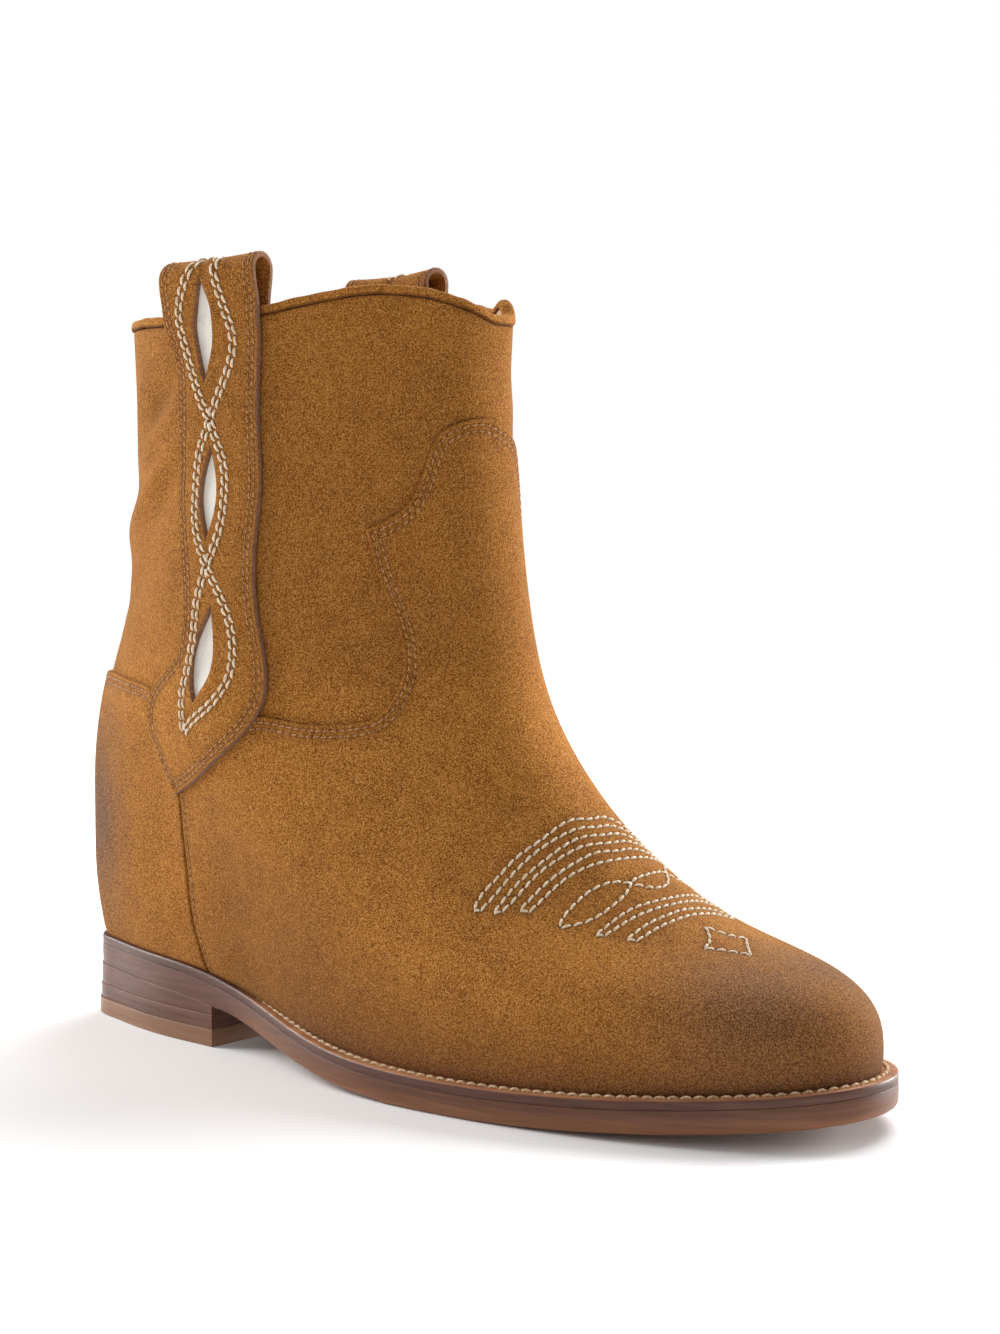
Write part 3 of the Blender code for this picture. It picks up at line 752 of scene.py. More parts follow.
def suede():
    n = Nodes("tan_suede_nap")
    cloud = n.noise(24, 3, 0.55)
    patch = n.noise(120, 3, 0.6)
    nap = n.noise(1250, 2, 0.6)
    fibre = n.noise(2600, 2, 0.7)
    colour = n.mix(n.span(cloud, 0.32, 0.68), TAN_DEEP, TAN)
    colour = n.mix(n.span(patch, 0.45, 0.68, 0.0, 0.26), colour, TAN_PALE)
    colour = n.mix(n.span(patch, 0.50, 0.30, 0.0, 0.20), colour, TAN_SHADE)
    colour = n.mix(n.span(nap, 0.50, 0.68, 0.0, 0.30), colour, TAN_PALE)
    colour = n.mix(n.span(nap, 0.50, 0.32, 0.0, 0.34), colour, TAN_SHADE)
    colour = n.mix(n.span(fibre, 0.50, 0.62, 0.0, 0.68), colour, TAN_TIP)
    colour = n.mix(n.span(fibre, 0.50, 0.38, 0.0, 0.80), colour, TAN_SHADE)
    # Burnished colours on the toe and heel, a darker band over the welt, and painted shade up the lower
    # upper.
    worked = n.math("MULTIPLY", n.attribute("burnish_and_painted_shade"), n.span(nap, 0.35, 0.65, 1.1, 0.75), clamp=True)
    colour = n.mix(worked, colour, n.mix(n.span(fibre, 0.42, 0.62), BURNISHED, BURNISHED_TIP))
    # Darker to TAN_SHADE where the seam attribute says: pressed nap and painted shade at stitch rows and
    # needle holes, painted shade in fold valleys, under the topline bead, towards the welt and on the shaft,
    # and darker on the heel counter.
    colour = n.mix(n.math("MULTIPLY", n.attribute("seam"), 0.8, clamp=True), colour, TAN_SHADE)
    n.bump((patch, 0.0006, 0.25), (nap, 0.0005, 0.5), (fibre, 0.0003, 0.8))
    n.constants({"Sheen Weight": 0.13, "Sheen Roughness": 0.3, "Sheen Tint": (1.0, 0.66, 0.36),
                 "Specular IOR Level": 0.10})
    return n.finish(colour, n.span(nap, 0.2, 0.8, 0.88, 0.98))


def cut_edge():
    """Raw cut edge of suede: pressed fibres in a warm brown."""
    n = Nodes("cut_edge_fibre")
    layers = n.noise(900, 3, 0.7, stretch=(1, 1, 1.6))
    fibre = n.noise(3200, 2, 0.7)
    colour = n.mix(n.span(layers, 0.3, 0.7), (0.140, 0.056, 0.025), (0.31, 0.150, 0.078))
    colour = n.mix(n.span(fibre, 0.55, 0.75, 0.0, 0.5), colour, (0.52, 0.31, 0.19))
    n.bump((layers, 0.0004, 0.6), (fibre, 0.00018, 0.6))
    n.constants({"Sheen Weight": 0.15, "Sheen Roughness": 0.5, "Specular IOR Level": 0.2})
    return n.finish(colour, n.span(layers, 0.2, 0.8, 0.8, 0.95))


def thread(name, dark, light):
    n = Nodes(name)
    twist = n.noise(1900, 2, 0.6, distortion=0.6)
    hair = n.noise(5200, 2, 0.6)
    colour = n.mix(n.span(twist, 0.35, 0.65), dark, light)
    n.bump((twist, 0.0002, 0.5), (hair, 0.00006, 0.5))
    n.constants({"Sheen Weight": 0.08, "Sheen Roughness": 0.4, "Specular IOR Level": 0.3})
    return n.finish(colour, n.span(hair, 0.3, 0.7, 0.55, 0.75))


def smooth_leather(name, dark, light, crack, gloss):
    """Grained leather: fine cells, soft mottling."""
    n = Nodes(name)
    cloud = n.noise(60, 3, 0.6)
    grain = n.cells(1500)
    fine = n.noise(2600, 2, 0.6)
    colour = n.mix(n.span(cloud, 0.3, 0.7), dark, light)
    colour = n.mix(n.span(grain, 0.55, 0.9, 0.0, 0.35), colour, crack)
    n.bump((cloud, 0.0006, 0.3), (grain, 0.00012, 0.45), (fine, 0.00006, 0.4))
    n.constants({"Specular IOR Level": 0.4})
    return n.finish(colour, n.span(cloud, 0.3, 0.7, gloss, gloss + 0.15))


def waxed_edge(name, dark, light, low, low_light, streak_height=260):
    """Stacked leather with a waxed edge: fibres run along it; low and low_light colour its stained band."""
    n = Nodes(name)
    streaks = n.noise(streak_height, 3, 0.55, stretch=(0.15, 0.15, 3.0))
    blotch = n.noise(70, 3, 0.6)
    scratch = n.noise(900, 2, 0.6, stretch=(0.3, 0.3, 3.0))
    colour = n.mix(n.span(streaks, 0.32, 0.70), dark, light)
    colour = n.mix(n.span(blotch, 0.55, 0.8, 0.0, 0.30), colour, light)
    colour = n.mix(n.attribute("low"), colour, n.mix(n.span(streaks, 0.30, 0.70), low, low_light))
    n.bump((streaks, 0.0003, 0.30), (scratch, 0.00010, 0.35))
    n.constants({"Coat Weight": 0.08, "Coat Roughness": 0.25, "Specular IOR Level": 0.27})
    return n.finish(colour, n.span(scratch, 0.3, 0.7, 0.34, 0.50))


def fibreboard(name, dark, light, scale=500):
    n = Nodes(name)
    fleck = n.noise(scale, 4, 0.7)
    fine = n.noise(scale * 5, 2, 0.7)
    colour = n.mix(n.span(fleck, 0.35, 0.65), dark, light)
    colour = n.mix(n.span(fine, 0.6, 0.8, 0.0, 0.4), colour, light)
    n.bump((fleck, 0.0004, 0.6), (fine, 0.0001, 0.5))
    return n.finish(colour, n.span(fleck, 0.3, 0.7, 0.75, 0.92))


def cork():
    n = Nodes("cork_granules")
    granule = n.cells(420)
    fine = n.noise(1500, 3, 0.6)
    colour = n.mix(n.span(granule, 0.2, 0.7), (0.42, 0.24, 0.11), (0.24, 0.12, 0.05))
    colour = n.mix(n.span(fine, 0.6, 0.75, 0.0, 0.5), colour, (0.12, 0.06, 0.03))
    n.bump((granule, 0.0005, 0.7), (fine, 0.0001, 0.5))
    return n.finish(colour, n.span(fine, 0.3, 0.7, 0.8, 0.95))


def steel():
    n = Nodes("bright_steel")
    brushed = n.noise(800, 3, 0.6, stretch=(0.1, 3, 1))
    colour = n.mix(n.span(brushed, 0.3, 0.7), (0.42, 0.42, 0.43), (0.62, 0.62, 0.63))
    n.bump((brushed, 0.00008, 0.4))
    n.shader.inputs["Metallic"].default_value = 1.0
    return n.finish(colour, n.span(brushed, 0.3, 0.7, 0.25, 0.42))


SUEDE = suede()
EDGE = cut_edge()
CREAM_THREAD = thread("cream_thread", (0.52, 0.38, 0.24), (0.88, 0.74, 0.55))
TAN_THREAD = thread("tan_thread", (0.14, 0.048, 0.012), (0.62, 0.310, 0.120))
WELT_THREAD = thread("welt_thread", (0.46, 0.27, 0.13), (0.86, 0.66, 0.44))
INLAY = smooth_leather("inlay_smooth", (0.70, 0.65, 0.58), (0.84, 0.80, 0.73), (0.56, 0.51, 0.44), 0.42)
LINING_LEATHER = smooth_leather("lining_smooth", (0.46, 0.27, 0.13), (0.60, 0.38, 0.20), (0.34, 0.19, 0.09),
                                0.55)
SOCK = smooth_leather("sock_smooth", (0.50, 0.31, 0.16), (0.64, 0.43, 0.24), (0.38, 0.22, 0.11), 0.5)
SOLE = waxed_edge("sole_edge_waxed", (0.085, 0.030, 0.015), (0.140, 0.055, 0.030),
                  (0.185, 0.068, 0.026), (0.265, 0.110, 0.046))
WELT = waxed_edge("welt_waxed", (0.34, 0.13, 0.050), (0.54, 0.25, 0.11),
                  (0.070, 0.025, 0.015), (0.118, 0.048, 0.030), 420)
TOP_PIECE_LEATHER = waxed_edge("top_piece_waxed", (0.180, 0.080, 0.036), (0.245, 0.118, 0.060),
                               (0.215, 0.100, 0.050), (0.280, 0.142, 0.076))
BOARD = fibreboard("stiffener_fibre", (0.20, 0.16, 0.11), (0.38, 0.31, 0.22))
INSOLE = fibreboard("insole_fibre", (0.34, 0.23, 0.13), (0.52, 0.39, 0.25), 700)
CORK = cork()
STEEL = steel()


def finish_cad_nodes():
    """The pieces inside the boot keep their CAD shapes and get their materials."""
    by_slot = {"stiffener_board": BOARD, "insole_board": INSOLE, "cork": CORK, "steel": STEEL}
    inside = {
        "toe_puff": "stiffener_board", "heel_stiffener": "stiffener_board", "insole_board": "insole_board",
        "concealed_wedge": "cork", "bottom_filler": "cork", "shank": "steel", "shank_rivet_rear": "steel",
        "shank_rivet_front": "steel", **{f"heel_nail_{k}": "steel" for k in range(1, 6)},
    }
    for node, slot in inside.items():
        for material_slot in frame["nodes"][node].material_slots:
            material_slot.material = by_slot[slot]


# --------------------------------------------------------------------------------------------- pieces

def on_boot(piece, slot, *nodes):
    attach(piece, "boot")
    if nodes:
        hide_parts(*nodes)


def on_strap(piece, side_name, slot, *nodes):
    """The strap's pieces keep their place, baked into their meshes, and the CAD nodes that they replace are
    hidden.
    """
    joint = next(j for j in frame["record"]["behaviour"]["joints"] if j["name"] == f"{side_name}_loop_tilt")
    x, y, _ = joint["pos_m"]
    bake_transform(piece)
    if nodes:
        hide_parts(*nodes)


def front(t):
    """Where the vamp's middle lies: a little to the lateral side, up the instep and the shaft."""
    return -0.020 * ease((t - 0.42) / 0.10) - 0.012 * ease((t - 0.60) / 0.20)


def opposite(points):
    """The same line on the vamp's other half, in the other direction."""
    return [(2 * front(t) - a, t) for a, t in reversed(points)]


def mirrored(half):
    """A line from the lateral side to the vamp's middle, and on through its mirror image."""
    middle = half[-1][1]
    return half[:-1] + [(front(middle), middle)] + opposite(half[:-1])


def mirrored_about(middle, half):
    """A line from the lateral side to a = middle, and on through its mirror image."""
    return half + [(2 * middle - a, t) for a, t in reversed(half[:-1])]


def turned(side, points):
    return [(side * a, t) for a, t in points]


def needle_row(surface, line, offset, pitch, trim=0.0):
    """Needle holes at pitch along the line moved to its left by offset, trim mm short of its ends."""
    moved = parallel(surface, line, offset) if offset else line
    run = lengths(surface(moved, 0))
    count = max(round((run[-1] - 2 * trim) / pitch), 1)
    at = np.linspace(trim, run[-1] - trim, count + 1)
    return np.stack([np.interp(at, run, moved[:, k]) for k in (0, 1)], axis=1)


SEAM_LOW = [(-0.672, 0.0), (-0.672, 0.11), (-0.670, 0.18), (-0.662, 0.27), (-0.640, 0.39), (-0.640, 0.545)]
VAMP_SIDE = [
    (-0.640, 0.545), (-0.550, 0.552), (-0.500, 0.575), (-0.466, 0.597), (-0.418, 0.603), (-0.353, 0.617),
    (-0.305, 0.635), (-0.264, 0.671), (-0.242, 0.706), (-0.240, 0.740), (-0.258, 0.780), (-0.277, 0.824),
]
VAMP_TONGUE = [
    (-0.277, 0.824), (-0.236, 0.833), (-0.204, 0.845), (-0.176, 0.866), (-0.156, 0.884), (-0.127, 0.895),
    (-0.080, 0.903), (0, 0.907),
]
COUNTER_TOP = [(0.640, 0.545), (0.655, 0.570), (0.700, 0.570), (0.753, 0.560), (0.890, 0.530), (1.0, 0.523)]
COUNTER_SHIFT = 0.003          # keeps the counter clear of the vamp at their seam
FOOT = -0.002                  # the upper starts just under its feather edge
TAN_PITCH = 2.3
TAN_RADIUS = 0.24
TAN_ROWS = (1.5, 3.2)          # from a panel's edge, in mm
STRAP_ROWS = (1.6, 3.1)        # from the strap's edge
CREAM_PITCH = 3.1
CREAM_RADIUS = 0.43


ALMOND_MIDDLE = 0.015          # where the toe's two crossed almonds meet


def toe_patterns():
    """Centre lines of the toe's ornamental rows, from the lateral side over the ridge."""
    a1 = [(-.307, .374), (-.283, .408), (-.257, .434), (-.208, .477), (-.157, .506), (-.093, .533),
          (-.034, .540), (0, .5385)]
    a2 = [(-.301, .375), (-.260, .420), (-.216, .461), (-.165, .495), (-.106, .519), (-.044, .530), (0, .529)]
    a3 = [(-.288, .376), (-.248, .421), (-.200, .461), (-.149, .491), (-.084, .515), (-.027, .519),
          (0, .5185)]
    a4 = [(-.278, .381), (-.240, .419), (-.191, .460), (-.136, .489), (-.075, .507), (0, .509)]
    a5 = [(-.255, .391), (-.220, .424), (-.171, .459), (-.115, .485), (-.052, .499), (0, .4985)]
    a6 = [(-.247, .390), (-.204, .427), (-.153, .460), (-.093, .481), (0, .4885)]
    b1 = [(-.194, .365), (-.162, .388), (-.133, .405), (-.103, .418), (-.071, .426), (0, .432)]
    b2 = [(-.185, .365), (-.131, .397), (-.066, .418), (0, .424)]
    b3 = [(-.161, .363), (-.111, .392), (-.046, .410), (0, .4145)]
    b4 = [(-.152, .361), (-.098, .388), (-.028, .404), (0, .406)]
    lines = []
    for outer_line, inner_line in ((a1, a2), (a3, a4), (a5, a6), (b1, b2), (b3, b4)):
        pair = [curve(mirrored(outer_line)), curve(mirrored(inner_line))]
        lines += pair
        lines += [np.array([pair[0][end], pair[1][end]]) for end in (0, -1)]
    over = [(-.227, .372), (-.209, .393), (-.181, .416), (-.149, .437), (-.115, .451), (-.084, .458),
            (-.055, .456), (-.022, .449), (ALMOND_MIDDLE, .447)]
    under = [(-.227, .370), (-.192, .386), (-.164, .401), (-.132, .419), (-.100, .434), (-.070, .448),
             (-.048, .459), (-.018, .464), (ALMOND_MIDDLE, .4655)]
    lines += [curve(mirrored_about(ALMOND_MIDDLE, over)), curve(mirrored_about(ALMOND_MIDDLE, under))]
    corners = [(0, .387), (.066, .352), (0, .330), (-.066, .352), (0, .387)]
    middle = np.array((0, .357))
    for start, end in zip(np.array(corners), np.array(corners[1:])):
        waist = (start + end) / 2 * 0.86 + middle * 0.14
        lines.append(curve([start, waist, end], 60))
    return lines


def build_vamp():
    side = curve(VAMP_SIDE)
    other = opposite(VAMP_SIDE)
    outline = outline_of(upper, [
        [(0.672, FOOT), (0.4, FOOT), (0, FOOT), (-0.4, FOOT), (-0.672, FOOT)], SEAM_LOW, VAMP_SIDE,
        mirrored(VAMP_TONGUE), other, [(-a, t) for a, t in reversed(SEAM_LOW)],
    ])
    edge = np.concatenate([side[:-1], curve(mirrored(VAMP_TONGUE))[:-1], curve(other)])
    tan_rows = [needle_row(upper, edge, -offset, TAN_PITCH, 3) for offset in TAN_ROWS]
    seam = curve(SEAM_LOW)
    for sign in (1, -1):
        tan_rows.append(needle_row(upper, seam * (sign, 1), -1.6 * sign, TAN_PITCH, 1.5))
    cream_rows = [needle_row(upper, line, 0, CREAM_PITCH * 0.97) for line in toe_patterns()]
    seams = [(row, 0.30) for row in tan_rows] + [(row, 0.26) for row in cream_rows]
    vamp = shell("vamp_suede", upper, outline, COVER, (SUEDE, SUEDE), seams=seams, spacing=2.4, feather=0.5)
    on_boot(vamp, "tan_suede", "vamp")
    made = stitches("vamp_seam_stitches", upper, tan_rows, COVER[1] - 0.2, TAN_RADIUS, TAN_THREAD)
    on_boot(made, "tan_suede")
    made = stitches("toe_ornament_stitches", upper, cream_rows, COVER[1] - 0.1, CREAM_RADIUS * 0.9,
                    CREAM_THREAD, 0.2)
    on_boot(made, "inlay_leather")


def across_back(points):
    """The same line on the other side of the back."""
    return [(2 - a, t) for a, t in points]


def build_counter():
    low = [(COUNTER_SHIFT - a, t) for a, t in SEAM_LOW]
    top = [(min(a + COUNTER_SHIFT, 1.0), t) for a, t in COUNTER_TOP]
    foot = [(a, FOOT) for a in (low[0][0], 0.83, 1.0, 1.17, 2 - low[0][0])]
    outline = outline_of(upper, [foot, across_back(low), across_back(top) + top[-2::-1], low[::-1]])
    edge = curve(top + across_back(top[-2::-1]))
    rows = [needle_row(upper, edge, -offset, TAN_PITCH, 2) for offset in TAN_ROWS]
    counter = shell("heel_counter_suede", upper, outline, COVER, (SUEDE, SUEDE),
                    seams=[(row, 0.30) for row in rows], spacing=2.6, feather=0.5)
    on_boot(counter, "tan_suede", "heel_counter_cover")
    made = stitches("counter_seam_stitches", upper, rows, COVER[1] - 0.2, TAN_RADIUS, TAN_THREAD)
    on_boot(made, "tan_suede")


def build_shaft():
    panels = (
        ("shaft_front", -SIDE_SEAM + SEAM_GAP, 0, SIDE_SEAM - SEAM_GAP, 0.52, 2.6),
        ("shaft_back", SIDE_SEAM + SEAM_GAP, 1, 2 - SIDE_SEAM - SEAM_GAP, 0.49, 2.0),
    )
    for node, first, middle, last, low, spacing in panels:
        top = [(a, TOP_EDGE) for a in (last, middle + 0.25, middle, middle - 0.25, first)]
        outline = outline_of(upper, [
            [(first, low), (middle, low), (last, low)], [(last, low), top[0]], top, [top[-1], (first, low)],
        ])
        piece = shell(f"{node}_suede", upper, outline, SHAFT, (SUEDE, SUEDE), spacing=spacing, edge=0.6)
        on_boot(piece, "tan_suede", node)


def build_linings():
    split = 0.562
    bands = (
        ("vamp_lining", -split, split, 0.012, 0.56),
        ("shaft_lining_front", -split, split, 0.562, 0.992),
        ("heel_grip", split + 0.002, 2 - split - 0.002, 0.012, 0.5),
        ("shaft_lining_back", split + 0.002, 2 - split - 0.002, 0.502, 0.992),
    )
    for node, first, last, low, high in bands:
        middle = (first + last) / 2
        outline = outline_of(upper, [
            [(first, low), (middle, low), (last, low)], [(last, low), (last, high)],
            [(a, high) for a in (last, (last + middle) / 2, middle, (first + middle) / 2, first)],
            [(first, high), (first, low)],
        ], 2.0)
        rows = []
        if low > 0.3:
            row = np.array([(first + 0.01, low + 0.008), (last - 0.01, low + 0.008)])
            rows.append(needle_row(upper, between(between(between(row))), 0, 3.0))
        piece = shell(f"{node}_leather", upper, outline, LINING, (LINING_LEATHER, LINING_LEATHER),
                      seams=[(row, 0.2) for row in rows], spacing=4.0, inward=True)
        on_boot(piece, "lining_leather", node)


def build_binding():
    """The rolled bead over the top edges of the shaft and its lining."""
    count = 640
    around = np.arange(count) * 2 / count - 1
    middle, half, drop = -2.05, 1.75, 2.6
    angles = np.linspace(0, pi, 15)
    profile = [(middle + half * cos(a) * 0.98, -1.15 + 1.25 * sin(a)) for a in angles]
    profile = [(middle + half, -drop + 0.25), (middle + half * 1.05, -1.7)] + profile
    profile += [(middle - half * 1.05, -1.7), (middle - half, -drop + 0.25), (middle - half + 0.35, -drop)]
    profile += [(middle + half - 0.35, -drop)]
    rings = []
    places = np.stack([around, np.ones(count)], axis=1)
    for depth, height in profile:
        ring = upper(places, depth)
        wobble = 0.10 * np.sin(around * 61) + 0.07 * np.sin(around * 143 + 1)
        ring[:, 2] += height + wobble
        rings.append(ring)
    points = np.concatenate(rings)
    # The bead's underside, where it meets the shaft, is darkened: painted shade under the bead.
    attributes = {
        "seam": np.repeat([1.0 if height < -2.2 else 0.0 for _, height in profile], count),
        "burnish_and_painted_shade": np.zeros(len(points)),
    }
    faces = ring_faces(len(profile), count, closed=True)
    bead = add_mesh("topline_bead", points, faces, (SUEDE,), None, attributes)
    on_boot(bead, "tan_suede", "topline_binding")


V_END = 1 + (LOOP_LENGTH + TAB_LENGTH) / MM_PER_V
CORNER = 0.012                 # size of the inner tab's rounded corners, in v


def loop_v(h):
    """The strap's place v at h mm past the topline."""
    return 1 + h / MM_PER_V


# The strap's edges, from the inner tab over the loop to its pointed foot and back, on the medial side.
STRAP_BACK_EDGE = [
    (STRAP_BACK, V_END - CORNER), (STRAP_BACK, loop_v(38)), (STRAP_BACK, loop_v(20)),
    (STRAP_BACK + 0.002, loop_v(6)), (0.603, 0.990), (0.591, 0.968), (0.582, 0.940), (0.579, 0.909),
    (0.583, 0.853), (0.571, 0.768), (0.568, 0.731), (0.578, 0.675), (0.614, 0.621), (0.648, 0.570),
    (0.663, 0.509), (0.655, 0.449), (0.643, 0.379),
]
STRAP_FRONT_EDGE = [
    (0.643, 0.379), (0.590, 0.441), (0.541, 0.500), (0.488, 0.564), (0.452, 0.621), (0.440, 0.657),
    (0.438, 0.691), (0.443, 0.770), (0.438, 0.815), (0.430, 0.853), (0.433, 0.905), (0.433, 0.950),
    (0.434, 0.997), (STRAP_FRONT, loop_v(6)), (STRAP_FRONT, loop_v(20)), (STRAP_FRONT, loop_v(38)),
    (STRAP_FRONT, V_END - CORNER),
]
# The two strands of thread round each lens, from its top down, on the lateral side.
STRAND_LENSES = (
    ([(-.514, loop_v(18.5)), (-.526, loop_v(16)), (-.543, loop_v(12.5)), (-.555, loop_v(8)),
      (-.568, loop_v(3)), (-.571, 1.0), (-.568, .988), (-.560, .966), (-.546, .944), (-.531, .923),
      (-.514, .908)],
     [(-.514, loop_v(18.5)), (-.508, loop_v(16)), (-.503, loop_v(12.5)), (-.498, loop_v(8)),
      (-.492, loop_v(3)), (-.487, 1.0), (-.477, .985), (-.474, .970), (-.481, .950), (-.498, .929),
      (-.514, .908)]),
    ([(-.514, .908), (-.523, .896), (-.536, .879), (-.540, .862), (-.543, .840), (-.544, .826), (-.536, .802),
      (-.521, .782)],
     [(-.514, .908), (-.507, .896), (-.490, .874), (-.486, .858), (-.488, .841), (-.493, .824), (-.505, .803),
      (-.521, .782)]),
    ([(-.521, .782), (-.530, .764), (-.538, .746), (-.545, .704), (-.552, .676), (-.561, .646), (-.570, .613),
      (-.579, .575), (-.585, .525)],
     [(-.521, .782), (-.509, .768), (-.490, .743), (-.481, .715), (-.482, .686), (-.488, .660), (-.506, .624),
      (-.532, .589), (-.562, .557), (-.585, .525)]),
)
# Cut-outs of the strap: top, bottom and half-width.
LENSES = (
    ((0.527, loop_v(10)), (0.527, 0.939), 0.0165),
    ((0.514, 0.886), (0.523, 0.806), 0.0155),
    ((0.514, 0.741), (0.557, 0.588), 0.0175),
)


def lens(top, bottom, half_width, steps=26):
    """A pointed oval in (a, v)."""
    left = []
    right = []
    for k in range(1, steps):
        u = k / steps
        a = top[0] + (bottom[0] - top[0]) * u
        v = top[1] + (bottom[1] - top[1]) * u
        width = half_width * sin(pi * u) ** 1.1
        left.append((a - width, v))
        right.append((a + width, v))
    return np.array([top] + right + [bottom] + left[::-1])


def strap_outline(side):
    end = [(STRAP_FRONT, V_END - CORNER), (STRAP_FRONT + 0.006, V_END - 0.003), (STRAP_FRONT + 0.03, V_END),
           (0.52, V_END), (STRAP_BACK - 0.03, V_END), (STRAP_BACK - 0.006, V_END - 0.003),
           (STRAP_BACK, V_END - CORNER)]
    runs = [turned(side, run) for run in (STRAP_BACK_EDGE, STRAP_FRONT_EDGE, end)]
    return outline_of(strap_surface, runs, 1.0)


def strap_rows(side):
    """Needle rows of the strap: tan ones along its edges, and two cream ones for each strand."""
    edges = [curve(turned(side, run)) for run in (STRAP_BACK_EDGE, STRAP_FRONT_EDGE)]
    tan_rows = []
    for offset in STRAP_ROWS:
        for edge in edges:
            tan_rows.append(needle_row(strap_surface, edge, -side * offset, TAN_PITCH, 2.5))
    cream_rows = []
    for pair in STRAND_LENSES:
        for strand in pair:
            line = curve([(-side * a, v) for a, v in strand])
            for shift in (-0.85, 0.85):
                cream_rows.append(needle_row(strap_surface, line, shift, CREAM_PITCH, 0.3))
    return tan_rows, cream_rows


def build_strap(side_name, side):
    holes = [lens(*size) * (side, 1) for size in LENSES]
    tan_rows, cream_rows = strap_rows(side)
    depths = (STRAP_MIDDLE - STRAP_HALF, STRAP_MIDDLE + STRAP_HALF)
    seams = [(row, 0.30) for row in tan_rows] + [(row, 0.22) for row in cream_rows]
    strap = shell(f"{side_name}_strap_suede", strap_surface, strap_outline(side), depths, (SUEDE, EDGE),
                  holes, seams, 1.9, 0.4)
    on_strap(strap, side_name, "tan_suede", f"{side_name}_pull_strap", f"{side_name}_pull_loop",
             f"{side_name}_inner_tab")
    made = stitches(f"{side_name}_strap_edge_stitches", strap_surface, tan_rows, depths[1] - 0.2, TAN_RADIUS,
                    TAN_THREAD)
    on_strap(made, side_name, "tan_suede")
    made = stitches(f"{side_name}_strap_cream_stitches", strap_surface, cream_rows, depths[1] - 0.05,
                    CREAM_RADIUS, CREAM_THREAD, 0.25)
    on_strap(made, side_name, "inlay_leather")


def build_inlay(side_name, side):
    """The smooth strip that shows through the strap's cut-outs."""
    strip = turned(side, [(0.566, 0.583), (0.562, 0.680), (0.552, 0.760), (0.552, loop_v(14)),
                          (0.490, loop_v(14)), (0.480, 0.950), (0.480, 0.640), (0.520, 0.583)])
    runs = [strip[k:k + 2] for k in range(len(strip) - 1)] + [[strip[-1], strip[0]]]
    inlay = shell(f"{side_name}_inlay_leather", strap_surface, outline_of(strap_surface, runs), (0.1, 0.62),
                  (INLAY, INLAY), spacing=3.0, edge=0.2)
    on_strap(inlay, side_name, "inlay_leather", f"{side_name}_inlay_strip")


# --------------------------------------------------------------------------------------------- bottom

def margin_at(s):
    """How far the sole's edge stands out past the feather edge."""
    return HEEL_MARGIN + (FOREPART_MARGIN - HEEL_MARGIN) * ease((s - 0.2) / 0.35)


CAP_COLUMNS = 14


def plan(margin, start=0.0, stop=1.0, count=260):
    """The feather edge seen from above, moved outwards by margin(s): lateral and medial points."""
    v = np.linspace(np.arccos(1 - 2 * start) / pi, np.arccos(1 - 2 * stop) / pi, count)
    s = (1 - np.cos(pi * v)) / 2
    sides = []
    for side in (-1, 1):
        around = side * (1 - v)
        edge = last_points(around, 0)[:, :2]
        run = last_points(around + 0.002, 0)[:, :2] - last_points(around - 0.002, 0)[:, :2]
        outward = unit(np.stack([run[:, 1], -run[:, 0]], axis=1))
        sides.append(edge + outward * margin(s)[:, None])
    return sides


def cap(ring, base, total, height, upwards):
    """Faces over a ring whose points start at number base, and the points that they add after total."""
    count = len(ring) // 2
    rows = []
    extra = []
    for k in range(count):
        left, right = ring[k], ring[-1 - k]
        row = [base + k]
        for c in range(1, CAP_COLUMNS):
            place = left + (right - left) * c / CAP_COLUMNS
            row.append(total + len(extra))
            extra.append((place[0], place[1], float(height(place[0]))))
        rows.append(row + [base + 2 * count - 1 - k])
    faces = []
    for near, far in zip(rows, rows[1:]):
        for c in range(CAP_COLUMNS):
            quad = (near[c], far[c], far[c + 1], near[c + 1])
            faces.append(quad if upwards else quad[::-1])
    return faces, np.array(extra)


def slab(name, levels, margin, material, low, stop=1.0, front_low=False):
    """A layer of the bottom, from levels of (inset of its edge, height at x), lowest first.

    low gives each level's share of the material's second colour, and front_low leaves it out of the
    heel. The layer goes from the heel to stop, a fraction of the foot's length.
    """
    foot_length = LAST_LEVELS[0][2] - LAST_LEVELS[0][0]
    points = []
    for inset, height in levels:
        cut = inset / foot_length if stop < 1 else 0
        lateral, medial = plan(lambda s: margin(s) - (inset(s) if callable(inset) else inset), 0, stop - cut)
        ring = np.concatenate([lateral, medial[::-1]])
        points.append(np.column_stack([ring, height(ring[:, 0])]))
    size = len(points[0])
    faces = ring_faces(len(levels), size, closed=False)
    total = len(levels) * size
    for level, upwards in ((0, False), (len(levels) - 1, True)):
        more, extra = cap(points[level], level * size, total, levels[level][1], upwards)
        faces += more
        points.append(extra)
        total += len(extra)
    shares = [*low, low[0], low[-1]]
    values = np.concatenate([np.full(len(part), share) for part, share in zip(points, shares)])
    points = np.concatenate(points)
    if front_low:
        values = values * ease((points[:, 0] - 70) / 25)
    made = add_mesh(name, points, faces, (material,), None, {"low": values})
    tidy_mesh(made)
    return made


def tidy_mesh(made):
    """Joins the points that fall together at the heel and toe."""
    bm = bmesh.new()
    bm.from_mesh(made.data)
    bmesh.ops.remove_doubles(bm, verts=bm.verts, dist=0.000004)
    bmesh.ops.dissolve_degenerate(bm, edges=bm.edges, dist=0.000004)
    bmesh.ops.recalc_face_normals(bm, faces=bm.faces)
    bm.to_mesh(made.data)
    bm.free()


def tread(x):
    height = sole_top(x) - EDGE_THICKNESS
    worn = (x > TREAD_FLAT[0]) & (x < TREAD_FLAT[1])
    return np.where(worn, 0.0, np.maximum(height, 0.0))


